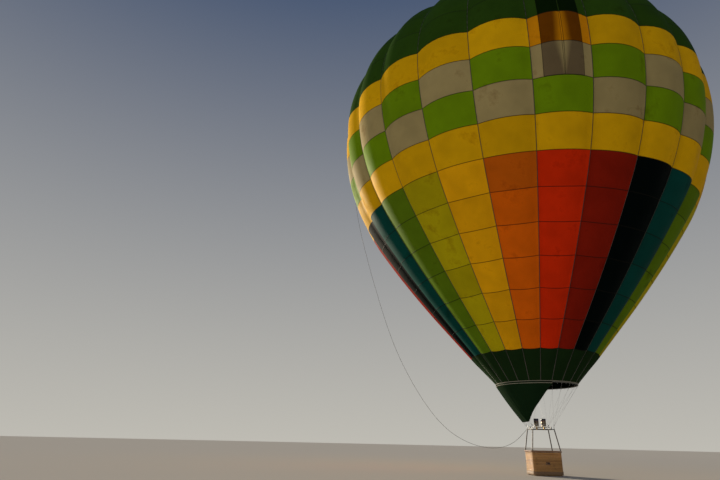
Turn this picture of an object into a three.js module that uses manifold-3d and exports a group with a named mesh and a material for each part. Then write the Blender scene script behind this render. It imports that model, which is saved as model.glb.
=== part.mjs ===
// A hot air balloon as it stands inflated: envelope of 24 bulged gores, parachute valve,
// turning vents, mouth with its scoop, flying wires, load frame with a two-axis burner gimbal,
// twin burners, covered uprights, and a wicker basket with its fuel cylinders and crown line.
// Millimetres, +Z up. Everything is laid out from the ground up, and the last group drops it so
// that the origin is the centre of the envelope's widest ring.
import * as THREE from 'three';
import { mergeVertices } from 'three/addons/utils/BufferGeometryUtils.js';
import Module from 'manifold-3d';

const wasm = await Module();
wasm.setup();

const DEG = Math.PI / 180;

// Envelope: the seam line's profile, from the crown down to the mouth
const EQUATOR_RADIUS = 10350;
const EQUATOR_HEIGHT = 19300;
// Arcs from the equator down, each with its radius and the slope where it ends; the last slope
// goes on as a straight cone
const SIDE_ARCS = [[12000, 33 * DEG], [60000, 39 * DEG]];
const MOUTH_RADIUS = 2090;
const SHOULDER_ARC = 7650;
const SHOULDER_ANGLE = 50 * DEG;

// Envelope: gores and rows of fabric panels
const GORES = 24;
const GORE_ANGLE = 360 * DEG / GORES;
const FIRST_SEAM = -11.66 * DEG; // from the front, -Y, towards +X
const ROW_PITCH = 1600;
const FIRST_ROW = -480; // the top of the upper gold row, measured along the seam from the equator
const ROWS_TO_VALVE = 7; // rows of crown panels above that line
const ROWS_TO_MOUTH_BAND = 10; // rows of panels below it
const BULGE = 0.11; // how far a gore stands out, as a share of its width
const SHELL = 10;
const GAP = 0.3;

// Crown: tapes over the valve opening, their hub and ring, and the valve under them
const TAPE_WIDTH = 50;
const TAPE_END_GAP = 3;
const HUB_INNER = 190;
const HUB_OUTER = 330;
const CROWN_RING_RADIUS = 255;
const CROWN_RING_ROD = 15;
const VALVE_DROP = 60; // from the tapes' top to the valve panel's top
const VALVE_OVERLAP = 330;

// Turning vents, one on each side, over the middle of a gore
const VENT_GORES = { turning_vent_front: 0, turning_vent_rear: 12 };
const VENT_HALF_WIDTH = 0.66; // as a share of half the gore
const VENT_ROWS = [-1, 2]; // from one row above the gold band to the foot of the first check row

// Mouth: hem, scoop and flying wires
const HEM_HEIGHT = 60;
const HEM_THICKNESS = 14;
const SCOOP_GORES = 12; // that it hangs from
const SCOOP_LAST_SEAM = 1; // at its end in front; the other seams are counted back from there
const SCOOP_FOOT_HEIGHT = 2540; // at its middle
const SCOOP_END_DROP = 100; // how far it still hangs below the hem at its ends
const SCOOP_WIRE_RISE = 0.43; // of its height, from its middle to the last wire of the left corners
const SCOOP_CLEARANCE = 60; // outside the wires at its foot
const WIRE_RADIUS = 2.5;
const WIRE_KNOB_RADIUS = 11;
const KARABINER_RADIUS = 32;
const KARABINER_ROD = 5;
const KARABINER_PLAY = 1.5; // under the top of the lug's hole

// Load frame, over the basket
const FRAME_HALF_LENGTH = 550;
const FRAME_HALF_WIDTH = 450;
const FRAME_HEIGHT = 2195;
const FRAME_TUBE = 20;
const CORNER_BALL = 26;
const LUG = { thick: 8, wide: 50, foot: 2210, top: 2290, holeHeight: 2262, holeRadius: 15 };
const SOCKET_RADIUS = 24;
const SOCKET_LENGTH = 70;

// Burner gimbal: the ring turns in the frame about X, and the burners turn in the ring about Y
const GIMBAL_HEIGHT = 2300;
const RING_HALF_LENGTH = 400;
const RING_HALF_WIDTH = 240;
const RING_BAR = 25;
const PIN_RADIUS = 9;
const PIN_HOLE = 10.2;
const BEARING = { thick: 40, wide: 60, top: 2330 };
const RING_BLOCK = { thick: 34, wide: 60, tall: 54 };
const RING_PIN_REACH = 584; // from the middle, 14 past the frame's bearings

// Burners
const BURNER_SPACING = 380;
const CAN_RADIUS = 120;
const CAN_WALL = 7;
const CAN_FOOT = 2360;
const CAN_TOP = 2720;
const COIL_RADIUS = 96;
const COIL_ROD = 9;
const COIL_TURNS = 6;
const JET_PLATE_TOP = 2395;
const VALVE_BLOCK = { long: 76, wide: 84, tall: 90, height: 2245 };
const RISER_RADIUS = 16;
const SPIDER = { long: 236, wide: 22, tall: 14 }; // the cross that a can stands on
const HOSE_STUB = { radius: 11, apart: 18, top: 2205, foot: 2172 };
const CAN_LIP = 6; // of the rolled rim, outwards and down

// Basket
const BASKET_LENGTH = 1500;
const BASKET_WIDTH = 1300;
const BASKET_CORNER = 120;
const RUNNER = { height: 50, width: 60, length: 1400, spacing: 480 };
const FLOOR_THICKNESS = 25;
const WALL_THICKNESS = 30;
const WALL_TOP = 1100;
const RIM = { width: 92, height: 66 };
const HIDE_BAND = { thick: 8, height: 150 };
const STEP_HOLE = { width: 190, height: 110, sill: 520 };
const UPRIGHT_RADIUS = 28;

// Fuel cylinders
const CYLINDER_RADIUS = 160;
const CYLINDER_BODY = 700;
const CYLINDER_INSET = { x: 190, y: 190 };

// Crown line: it lies along a seam's tape over the valve, moves over to the middle of the gore
// beside it, leaves the skin below the equator and hangs to the load frame
const LINE_GORE = -7;
const LINE_SHARES = [-1, -0.85, -0.55, -0.25, -0.08]; // row by row from the valve opening, then 0
const LINE_RADIUS = 8;
const LINE_LIFT = 24;
const LINE_LEAVES = 700; // below the equator, along the skin
// The free stretch in the gore's own upright plane, chosen by hand: distance from the axis, height
const LINE_ROUTE = [
  [10655, 17700],
  [10575, 16500],
  [10350, 15200],
  [10060, 13900],
  [9720, 12600],
  [9370, 11350],
  [9000, 10100],
  [8610, 8850],
  [8180, 7600],
  [7700, 6400],
  [7190, 5350],
  [6630, 4350],
  [6020, 3420],
  [5360, 2600],
  [4680, 1990],
  [4000, 1590],
  [3350, 1350],
  [2700, 1240],
  [2100, 1270],
  [1600, 1430],
  [1180, 1700],
  [880, 1990],
  [700, 2170],
];
const LINE_END = [-574, 199, 2195];
const LINE_STEPS = { lying: 24, hanging: 56 };

// Finishes
const FINISHES = {
  green_fabric: [0x1d3a14, 0.65, 0],
  gold_fabric: [0xd8a016, 0.65, 0],
  gore_fabric: [0xb8461a, 0.65, 0],
  mouth_fabric: [0x12261a, 0.7, 0],
  tape: [0x2a2a28, 0.8, 0],
  wire: [0x8d9093, 0.35, 1],
  steel: [0xa7a9ab, 0.3, 1],
  brass: [0xb08d45, 0.35, 1],
  wicker: [0xa8713c, 0.75, 0],
  leather: [0x6b4526, 0.6, 0],
  wood: [0x9b7446, 0.7, 0],
  cover: [0x22262a, 0.85, 0],
  rope: [0x4a463c, 0.9, 0],
};
const materials = Object.fromEntries(
  Object.entries(FINISHES).map(([name, [color, roughness, metalness]]) => [
    name,
    new THREE.MeshStandardMaterial({ name, color, roughness, metalness }),
  ]),
);

// Closed bodies

function signedVolume(geometry) {
  const p = geometry.attributes.position;
  const index = geometry.index.array;
  const [a, b, c] = [new THREE.Vector3(), new THREE.Vector3(), new THREE.Vector3()];
  let volume = 0;
  for (let i = 0; i < index.length; i += 3) {
    a.fromBufferAttribute(p, index[i]);
    b.fromBufferAttribute(p, index[i + 1]);
    c.fromBufferAttribute(p, index[i + 2]);
    volume += a.dot(b.cross(c)) / 6;
  }
  return volume;
}

// One closed body with shared corners, no empty triangles and its faces pointing out
function closed(geometry, tolerance = 1e-3) {
  const bare = geometry.clone();
  bare.deleteAttribute('normal');
  bare.deleteAttribute('uv');
  const merged = mergeVertices(bare, tolerance);
  const kept = [];
  const index = merged.index.array;
  for (let i = 0; i < index.length; i += 3) {
    const [a, b, c] = [index[i], index[i + 1], index[i + 2]];
    if (a !== b && b !== c && c !== a) kept.push(a, b, c);
  }
  merged.setIndex(kept);
  if (signedVolume(merged) < 0) {
    for (let i = 0; i < kept.length; i += 3) [kept[i], kept[i + 1]] = [kept[i + 1], kept[i]];
    merged.setIndex(kept);
  }
  return merged;
}

function toManifold(geometry) {
  const solid = closed(geometry);
  return new wasm.Manifold(new wasm.Mesh({
    numProp: 3,
    vertProperties: new Float32Array(solid.attributes.position.array),
    triVerts: new Uint32Array(solid.index.array),
  }));
}

function toGeometry(manifold) {
  const mesh = manifold.getMesh();
  const geometry = new THREE.BufferGeometry();
  geometry.setAttribute('position', new THREE.BufferAttribute(mesh.vertProperties, 3));
  geometry.setIndex(new THREE.BufferAttribute(mesh.triVerts, 1));
  return geometry;
}

function join(...geometries) {
  return toGeometry(geometries.map(toManifold).reduce((whole, piece) => whole.add(piece)));
}

function cut(geometry, ...tools) {
  return toGeometry(tools.reduce((whole, tool) => whole.subtract(toManifold(tool)), toManifold(geometry)));
}

function box(sizeX, sizeY, sizeZ, x, y, z) {
  return new THREE.BoxGeometry(sizeX, sizeY, sizeZ).translate(x, y, z);
}

function rod(from, to, radius, sides = 10) {
  const a = new THREE.Vector3(...from);
  const b = new THREE.Vector3(...to);
  const along = b.clone().sub(a);
  const own = new THREE.Vector3(0, 1, 0);
  const turn = new THREE.Quaternion().setFromUnitVectors(own, along.clone().normalize());
  const geometry = new THREE.CylinderGeometry(radius, radius, along.length(), sides);
  geometry.applyQuaternion(turn);
  return geometry.translate(...a.add(b).multiplyScalar(0.5).toArray());
}

function ball(radius, x, y, z) {
  return new THREE.SphereGeometry(radius, 8, 5).translate(x, y, z);
}

// A turned body: the profile is a list of radius and height, on the axis at both ends or closed
function turned(profile, segments = 24) {
  const points = profile.map(([r, z]) => new THREE.Vector2(r, z));
  return closed(new THREE.LatheGeometry(points, segments).rotateX(Math.PI / 2));
}

// A tube along a smooth curve through the points
function tube(points, radius, steps, sides = 8) {
  const section = new THREE.Shape();
  for (let i = 0; i < sides; i++) {
    const angle = 2 * Math.PI * i / sides;
    if (i === 0) section.moveTo(radius, 0);
    else section.lineTo(radius * Math.cos(angle), radius * Math.sin(angle));
  }
  const path = new THREE.CatmullRomCurve3(points.map((p) => new THREE.Vector3(...p)), false, 'centripetal');
  return closed(new THREE.ExtrudeGeometry(section, { steps, extrudePath: path, bevelEnabled: false }));
}

// A wall between two like grids of points, rows going down and columns going round to the left
// as seen from inside. It closes on itself round the ring, or gets side faces.
function wall(outer, inner, ring) {
  const rows = outer.length;
  const columns = outer[0].length;
  const positions = [...outer.flat(), ...inner.flat()].flat();
  const out = (i, j) => i * columns + (j % columns);
  const into = (i, j) => rows * columns + out(i, j);
  const faces = [];
  const quad = (a, b, c, d) => faces.push(a, b, c, a, c, d);
  const spans = ring ? columns : columns - 1;
  for (let j = 0; j < spans; j++) {
    for (let i = 0; i < rows - 1; i++) {
      quad(out(i, j), out(i + 1, j), out(i + 1, j + 1), out(i, j + 1));
      quad(into(i, j), into(i, j + 1), into(i + 1, j + 1), into(i + 1, j));
    }
    quad(out(0, j), out(0, j + 1), into(0, j + 1), into(0, j));
    const last = rows - 1;
    quad(out(last, j), into(last, j), into(last, j + 1), out(last, j + 1));
  }
  if (!ring) {
    const end = columns - 1;
    for (let i = 0; i < rows - 1; i++) {
      quad(out(i, 0), into(i, 0), into(i + 1, 0), out(i + 1, 0));
      quad(out(i, end), out(i + 1, end), into(i + 1, end), into(i, end));
    }
  }
  const geometry = new THREE.BufferGeometry();
  geometry.setAttribute('position', new THREE.Float32BufferAttribute(positions, 3));
  geometry.setIndex(faces);
  return closed(geometry);
}

// The envelope's form

const SHOULDER_TOP_RADIUS = EQUATOR_RADIUS - SHOULDER_ARC * (1 - Math.cos(SHOULDER_ANGLE));
const CROWN_ARCS = [
  [SHOULDER_ARC, SHOULDER_ANGLE],
  [SHOULDER_TOP_RADIUS / Math.cos(SHOULDER_ANGLE), Math.PI / 2],
];

// The seam line at a distance from the equator, down positive: radius, height and how far its
// outward normal points down
function seamAt(distance) {
  const side = distance >= 0;
  let [left, radius, rise, slope] = [Math.abs(distance), EQUATOR_RADIUS, 0, 0];
  for (const [arc, until] of side ? SIDE_ARCS : CROWN_ARCS) {
    const turn = Math.min(left / arc, until - slope);
    radius -= arc * (Math.cos(slope) - Math.cos(slope + turn));
    rise += arc * (Math.sin(slope + turn) - Math.sin(slope));
    slope += turn;
    left -= arc * turn;
  }
  radius -= left * Math.sin(slope);
  rise += left * Math.cos(slope);
  return {
    radius,
    height: EQUATOR_HEIGHT + (side ? -rise : rise),
    dip: side ? slope : -slope,
  };
}

function lengthOf(arcs) {
  return arcs.reduce((sum, [arc, until], i) => sum + arc * (until - (i ? arcs[i - 1][1] : 0)), 0);
}

const CONE_AT = lengthOf(SIDE_ARCS);
const CONE_ANGLE = SIDE_ARCS[SIDE_ARCS.length - 1][1];
const MOUTH_AT = CONE_AT + (seamAt(CONE_AT).radius - MOUTH_RADIUS) / Math.sin(CONE_ANGLE);
const MOUTH_HEIGHT = seamAt(MOUTH_AT).height;
const CROWN_AT = -lengthOf(CROWN_ARCS);
const CROWN_HEIGHT = seamAt(CROWN_AT).height;

const rowAt = (row) => FIRST_ROW + row * ROW_PITCH;
const seamAngle = (seam) => FIRST_SEAM + seam * GORE_ANGLE;

function around(radius, height, angle) {
  return [radius * Math.sin(angle), -radius * Math.cos(angle), height];
}

// A point of the skin: across is -1 at a gore's first seam, 0 in its middle and 1 at its next seam
function skinPoint(distance, gore, across, lift) {
  const seam = seamAt(distance);
  const width = 2 * seam.radius * Math.sin(GORE_ANGLE / 2);
  const fade = Math.min(1, Math.max(0, (MOUTH_AT - distance) / ROW_PITCH));
  const out = lift + BULGE * width * fade * (1 - across * across);
  const angle = seamAngle(gore + (across + 1) / 2);
  return around(seam.radius + out * Math.cos(seam.dip), seam.height - out * Math.sin(seam.dip), angle);
}

// A ring of panels between two distances, with two flat halves to a gore
function panelRing(from, to) {
  const stations = [from + GAP / 2];
  for (let row = -ROWS_TO_VALVE; row <= ROWS_TO_MOUTH_BAND; row++) {
    if (rowAt(row) > from + 1 && rowAt(row) < to - 1) stations.push(rowAt(row));
  }
  stations.push(to - GAP / 2);
  const grid = (lift) => stations.map((distance) => {
    const points = [];
    for (let gore = 0; gore < GORES; gore++) {
      points.push(skinPoint(distance, gore, -1, lift), skinPoint(distance, gore, 0, lift));
    }
    return points;
  });
  return wall(grid(0), grid(-SHELL), true);
}

// Panel rings, from the crown down: name, first row, last row, finish
const PANEL_RINGS = [
  ['crown_panels', -ROWS_TO_VALVE, -4, 'green_fabric'],
  ['shoulder_panels', -4, -2, 'green_fabric'],
  ['girth_panels', -2, 0, 'green_fabric'],
  ['upper_band_panels', 0, 2, 'gold_fabric'],
  ['lower_band_panels', 2, 4, 'gold_fabric'],
  ['upper_gore_panels', 4, 7, 'gore_fabric'],
  ['lower_gore_panels', 7, ROWS_TO_MOUTH_BAND, 'gore_fabric'],
];

const pieces = {};
function add(name, geometry, finish) {
  const mesh = new THREE.Mesh(geometry, materials[finish]);
  mesh.name = name;
  pieces[name] = mesh;
}

for (const [name, first, last, finish] of PANEL_RINGS) {
  add(name, panelRing(rowAt(first), rowAt(last)), finish);
}
add('mouth_band_panels', panelRing(rowAt(ROWS_TO_MOUTH_BAND), MOUTH_AT), 'mouth_fabric');

// Turning vents: a flap of cloth over the slot in the gore's middle, on the gore's two halves
for (const [name, gore] of Object.entries(VENT_GORES)) {
  const stations = [];
  for (let row = VENT_ROWS[0]; row <= VENT_ROWS[1]; row++) stations.push(rowAt(row));
  const onHalf = (at, side, lift) => {
    const middle = skinPoint(at, gore, 0, lift);
    const seam = skinPoint(at, gore, side, lift);
    return middle.map((value, axis) => value + VENT_HALF_WIDTH * (seam[axis] - value));
  };
  const grid = (lift) => stations.map((at) => [
    onHalf(at, -1, lift),
    skinPoint(at, gore, 0, lift),
    onHalf(at, 1, lift),
  ]);
  add(name, wall(grid(GAP + SHELL), grid(GAP), false), 'green_fabric');
}

// Crown tapes over the valve opening, joined at their hub
function crownTape(seam) {
  const rim = rowAt(-ROWS_TO_VALVE) - TAPE_END_GAP;
  const inner = CROWN_AT + HUB_INNER + 40;
  const stations = [0, 1, 2].map((step) => inner + (rim - inner) * step / 2);
  const across = [Math.cos(seamAngle(seam)), Math.sin(seamAngle(seam))];
  const grid = (lift) => stations.map((at) => {
    const { radius, height, dip } = seamAt(at);
    const [x, y, z] = around(radius + lift * Math.cos(dip), height - lift * Math.sin(dip), seamAngle(seam));
    return [-TAPE_WIDTH / 2, TAPE_WIDTH / 2].map((side) => [x + side * across[0], y + side * across[1], z]);
  });
  return wall(grid(0), grid(-SHELL), false);
}
const hub = turned([
  [HUB_INNER, CROWN_HEIGHT - SHELL - 4],
  [HUB_OUTER, CROWN_HEIGHT - SHELL - 4],
  [HUB_OUTER, CROWN_HEIGHT],
  [HUB_INNER, CROWN_HEIGHT],
  [HUB_INNER, CROWN_HEIGHT - SHELL - 4],
], GORES);
add('crown_tapes', join(hub, ...Array.from({ length: GORES }, (_, seam) => crownTape(seam))), 'tape');

function circleProfile(radius, height, rodRadius, sides) {
  return Array.from({ length: sides + 1 }, (_, i) => {
    const angle = 2 * Math.PI * i / sides;
    return [radius + rodRadius * Math.cos(angle), height + rodRadius * Math.sin(angle)];
  });
}
const crownRingHeight = CROWN_HEIGHT + GAP + CROWN_RING_ROD;
const crownRingProfile = circleProfile(CROWN_RING_RADIUS, crownRingHeight, CROWN_RING_ROD, 6);
add('crown_ring', turned(crownRingProfile, 20), 'steel');

// Parachute valve: a round panel that closes the crown from inside
{
  const edge = rowAt(-ROWS_TO_VALVE) + VALVE_OVERLAP;
  const stations = [0, 1, 2, 3, 4].map((step) => CROWN_AT + (edge - CROWN_AT) * step / 4);
  const face = (drop) => stations.map((at, i) => {
    const { radius, height, dip } = seamAt(at);
    return [i === 0 ? 0 : radius - drop * Math.cos(dip), height + drop * Math.sin(dip)];
  });
  const profile = [...face(VALVE_DROP), ...face(VALVE_DROP + SHELL).reverse()];
  add('parachute_valve', turned(profile, 32), 'green_fabric');
}

// Mouth hem
const hemTop = MOUTH_HEIGHT - 2 * GAP;
const hemFoot = hemTop - HEM_HEIGHT;
{
  const angles = Array.from({ length: 2 * GORES }, (_, i) => seamAngle(i / 2));
  const circle = (radius, height) => angles.map((angle) => around(radius, height, angle));
  const grid = (radius) => [circle(radius, hemTop), circle(radius, hemFoot)];
  add('mouth_hem', wall(
    grid(MOUTH_RADIUS + HEM_THICKNESS / 2),
    grid(MOUTH_RADIUS - HEM_THICKNESS / 2),
    true,
  ), 'tape');
}

// Flying wires: six seams to each corner of the load frame
const CORNERS = [
  ['front_right', 1, -1],
  ['rear_right', 1, 1],
  ['rear_left', -1, 1],
  ['front_left', -1, -1],
];
const cornerOf = (sx, sy) => [sx * FRAME_HALF_LENGTH, sy * FRAME_HALF_WIDTH];
const karabinerHeight = LUG.holeHeight + LUG.holeRadius - KARABINER_ROD - KARABINER_PLAY + KARABINER_RADIUS;
const knobHeight = karabinerHeight + KARABINER_RADIUS + WIRE_KNOB_RADIUS - KARABINER_ROD;
const wireTop = hemFoot - WIRE_RADIUS;

function nearestCorner(seam) {
  const [x, y] = around(1, 0, seamAngle(seam));
  return CORNERS.find(([, sx, sy]) => sx * x > 0 && sy * y > 0);
}

for (const [corner, sx, sy] of CORNERS) {
  const [x, y] = cornerOf(sx, sy);
  const ring = turned(circleProfile(KARABINER_RADIUS, 0, KARABINER_ROD, 6), 12);
  ring.rotateX(Math.PI / 2).translate(x, y, karabinerHeight);
  const parts = [ring, ball(WIRE_KNOB_RADIUS, x, y, knobHeight)];
  for (let seam = 0; seam < GORES; seam++) {
    if (nearestCorner(seam)[0] !== corner) continue;
    parts.push(rod([x, y, knobHeight], around(MOUTH_RADIUS, wireTop, seamAngle(seam)), WIRE_RADIUS, 4));
  }
  add(`flying_wires_${corner}`, join(...parts), 'wire');
}

// Scoop: hung outside the wires from the left half of the mouth, and drawn in to the frame's
// left corners
{
  const top = hemTop - 8;
  const bend = hemFoot - 12; // both a little below the hem's own edges
  const wireAt = (seam, height) => {
    const [, sx, sy] = nearestCorner(seam);
    const share = (height - knobHeight) / (wireTop - knobHeight);
    const rim = around(MOUTH_RADIUS, 0, seamAngle(seam));
    return cornerOf(sx, sy).map((value, axis) => value + share * (rim[axis] - value));
  };
  // Share of the height that the foot has risen: a curve to the last wire, then steeply to the hem
  const riseAt = (seam) => {
    const half = SCOOP_GORES / 2;
    const fromMiddle = Math.abs(seam - SCOOP_LAST_SEAM + half);
    if (fromMiddle <= half - 1) return SCOOP_WIRE_RISE * (fromMiddle / (half - 1)) ** 4;
    return 1 - (1 - SCOOP_WIRE_RISE) * (half - fromMiddle) ** 1.6;
  };
  const footAt = (seam) => {
    const height = SCOOP_FOOT_HEIGHT + riseAt(seam) * (bend - SCOOP_END_DROP - SCOOP_FOOT_HEIGHT);
    const feet = [Math.floor(seam), Math.ceil(seam)].map((wire) => wireAt(wire, height));
    const out = around(SCOOP_CLEARANCE, 0, seamAngle(seam));
    return [0, 1].map((axis) => (feet[0][axis] + feet[1][axis]) / 2 + out[axis]).concat(height);
  };
  // Height above the foot and share of the way in, row by row: straight down past the hem, then in
  const rowsFor = (foot) => [[top, 0], [bend, 0], [(bend + foot) / 2, 0.5], [foot, 1]];
  const grid = (lift) => [0, 1, 2, 3].map((row) => {
    const points = [];
    for (let half = -2 * SCOOP_GORES; half <= 0; half++) {
      const seam = SCOOP_LAST_SEAM + half / 2;
      const head = around(MOUTH_RADIUS + HEM_THICKNESS / 2 + 1, 0, seamAngle(seam));
      const foot = footAt(seam);
      const [height, share] = rowsFor(foot[2])[row];
      const out = around(lift, 0, seamAngle(seam));
      const place = [0, 1].map((axis) => head[axis] + share * (foot[axis] - head[axis]) + out[axis]);
      points.push([...place, height]);
    }
    return points;
  });
  add('scoop', wall(grid(SHELL), grid(0), false), 'mouth_fabric');
}

// Load frame: welded tube with corner sockets, lugs and two bearings for the gimbal ring
const footInset = (BASKET_CORNER - WALL_THICKNESS / 2) * (1 - Math.SQRT1_2);
const rimTop = WALL_TOP + RIM.height;
const footX = BASKET_LENGTH / 2 - WALL_THICKNESS / 2 - footInset;
const footY = BASKET_WIDTH / 2 - WALL_THICKNESS / 2 - footInset;
const uprightFoot = (sx, sy) => new THREE.Vector3(sx * footX, sy * footY, rimTop);
const uprightHead = (sx, sy) => new THREE.Vector3(...cornerOf(sx, sy), FRAME_HEIGHT);
{
  const parts = [];
  const bearingTall = BEARING.top - FRAME_HEIGHT;
  const bar = (from, to) => rod([...from, FRAME_HEIGHT], [...to, FRAME_HEIGHT], FRAME_TUBE);
  for (const side of [-1, 1]) {
    const y = side * FRAME_HALF_WIDTH;
    const x = side * FRAME_HALF_LENGTH;
    parts.push(bar([-FRAME_HALF_LENGTH, y], [FRAME_HALF_LENGTH, y]));
    parts.push(bar([x, -FRAME_HALF_WIDTH], [x, FRAME_HALF_WIDTH]));
    parts.push(box(BEARING.thick, BEARING.wide, bearingTall, x, 0, FRAME_HEIGHT + bearingTall / 2));
  }
  for (const [, sx, sy] of CORNERS) {
    const [x, y] = cornerOf(sx, sy);
    const head = uprightHead(sx, sy);
    const down = uprightFoot(sx, sy).sub(head).normalize();
    const end = head.clone().addScaledVector(down, SOCKET_LENGTH);
    parts.push(ball(CORNER_BALL, x, y, FRAME_HEIGHT));
    parts.push(rod(head.toArray(), end.toArray(), SOCKET_RADIUS));
    parts.push(box(LUG.thick, LUG.wide, LUG.top - LUG.foot, x, y, (LUG.top + LUG.foot) / 2));
  }
  const holes = [];
  for (const [, sx, sy] of CORNERS) {
    const [x, y] = cornerOf(sx, sy);
    const [from, to] = [[x - LUG.thick, y, LUG.holeHeight], [x + LUG.thick, y, LUG.holeHeight]];
    holes.push(rod(from, to, LUG.holeRadius, 12));
  }
  const past = FRAME_HALF_LENGTH + 2 * BEARING.thick;
  holes.push(rod([-past, 0, GIMBAL_HEIGHT], [past, 0, GIMBAL_HEIGHT], PIN_HOLE, 12));
  add('load_frame', cut(join(...parts), ...holes), 'steel');
}

// Gimbal ring, with the pins that turn in the frame and the bearings for the burners
{
  const parts = [];
  const half = RING_BAR / 2;
  for (const side of [-1, 1]) {
    const y = side * RING_HALF_WIDTH;
    const x = side * RING_HALF_LENGTH;
    parts.push(box(2 * (RING_HALF_LENGTH + half), RING_BAR, RING_BAR, 0, y, GIMBAL_HEIGHT));
    parts.push(box(RING_BAR, 2 * (RING_HALF_WIDTH + half), RING_BAR, x, 0, GIMBAL_HEIGHT));
    parts.push(rod([x, 0, GIMBAL_HEIGHT], [side * RING_PIN_REACH, 0, GIMBAL_HEIGHT], PIN_RADIUS, 12));
    parts.push(box(RING_BLOCK.wide, RING_BLOCK.thick, RING_BLOCK.tall, 0, y, GIMBAL_HEIGHT));
  }
  const reach = RING_HALF_WIDTH + BEARING.thick;
  const hole = rod([0, -reach, GIMBAL_HEIGHT], [0, reach, GIMBAL_HEIGHT], PIN_HOLE, 12);
  add('gimbal_ring', cut(join(...parts), hole), 'steel');
}

// Burner bar: manifold with its pins, valve blocks, risers, jet plates and can supports
const BURNERS = [['left', -1], ['right', 1]];
{
  const barLength = BURNER_SPACING + 140;
  const pinReach = RING_HALF_WIDTH + RING_BLOCK.thick / 2 + 7;
  const parts = [
    box(barLength, 40, 36, 0, 0, GIMBAL_HEIGHT),
    rod([0, -pinReach, GIMBAL_HEIGHT], [0, pinReach, GIMBAL_HEIGHT], PIN_RADIUS, 12),
  ];
  for (const [, side] of BURNERS) {
    const x = side * BURNER_SPACING / 2;
    const spiderMiddle = CAN_FOOT - GAP - SPIDER.tall / 2;
    parts.push(box(VALVE_BLOCK.long, VALVE_BLOCK.wide, VALVE_BLOCK.tall, x, 0, VALVE_BLOCK.height));
    parts.push(rod([x, 0, GIMBAL_HEIGHT], [x, 0, JET_PLATE_TOP - 5], RISER_RADIUS, 8));
    parts.push(rod([x, 0, JET_PLATE_TOP - 10], [x, 0, JET_PLATE_TOP], COIL_RADIUS + COIL_ROD, 16));
    parts.push(box(SPIDER.long, SPIDER.wide, SPIDER.tall, x, 0, spiderMiddle));
    parts.push(box(SPIDER.wide, SPIDER.long, SPIDER.tall, x, 0, spiderMiddle));
    for (const hoseSide of [-1, 1]) {
      const hoseX = x + hoseSide * HOSE_STUB.apart;
      parts.push(rod([hoseX, 0, HOSE_STUB.top], [hoseX, 0, HOSE_STUB.foot], HOSE_STUB.radius, 8));
    }
  }
  add('burner_bar', join(...parts), 'brass');
}
for (const [name, side] of BURNERS) {
  const x = side * BURNER_SPACING / 2;
  const inner = CAN_RADIUS - CAN_WALL;
  const lip = CAN_RADIUS + CAN_LIP;
  const can = turned([
    [inner, CAN_FOOT], [CAN_RADIUS, CAN_FOOT],
    [CAN_RADIUS, CAN_TOP - 2 * CAN_LIP], [lip, CAN_TOP - CAN_LIP],
    [lip, CAN_TOP], [inner, CAN_TOP], [inner, CAN_FOOT],
  ], 20);
  add(`burner_can_${name}`, can.translate(x, 0, 0), 'steel');
  const pitch = 2 * COIL_ROD + 20;
  const low = JET_PLATE_TOP + GAP;
  const profile = [];
  for (let turn = 0; turn < COIL_TURNS; turn++) {
    const foot = low + turn * pitch;
    profile.push([COIL_RADIUS, foot], [COIL_RADIUS + COIL_ROD, foot + COIL_ROD]);
  }
  const high = low + COIL_TURNS * pitch;
  const inside = COIL_RADIUS - COIL_ROD;
  profile.push([COIL_RADIUS, high], [inside, high], [inside, low], profile[0]);
  add(`burner_coil_${name}`, turned(profile, 16).translate(x, 0, 0), 'steel');
}

// Basket

// Points round a rounded rectangle, counterclockwise, each with its outward direction
function roundedLoop(length, width, corner, cornerSteps) {
  const loop = [];
  const quarters = [[1, 1, 0], [-1, 1, 90], [-1, -1, 180], [1, -1, 270]];
  for (const [sx, sy, start] of quarters) {
    for (let step = 0; step <= cornerSteps; step++) {
      const angle = (start + 90 * step / cornerSteps) * DEG;
      const out = [Math.cos(angle), Math.sin(angle)];
      loop.push({
        at: [sx * (length / 2 - corner) + corner * out[0], sy * (width / 2 - corner) + corner * out[1]],
        out,
      });
    }
  }
  return loop;
}

// A section of offset and height, carried round a loop; offset is outwards
function carried(loop, section) {
  const count = section.length;
  const positions = [];
  for (const { at, out } of loop) {
    for (const [offset, height] of section) {
      positions.push(at[0] + offset * out[0], at[1] + offset * out[1], height);
    }
  }
  const faces = [];
  for (let i = 0; i < loop.length; i++) {
    for (let j = 0; j < count; j++) {
      const a = i * count + j;
      const b = i * count + (j + 1) % count;
      const c = ((i + 1) % loop.length) * count + (j + 1) % count;
      const d = ((i + 1) % loop.length) * count + j;
      faces.push(a, b, c, a, c, d);
    }
  }
  const geometry = new THREE.BufferGeometry();
  geometry.setAttribute('position', new THREE.Float32BufferAttribute(positions, 3));
  geometry.setIndex(faces);
  return closed(geometry);
}

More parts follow.
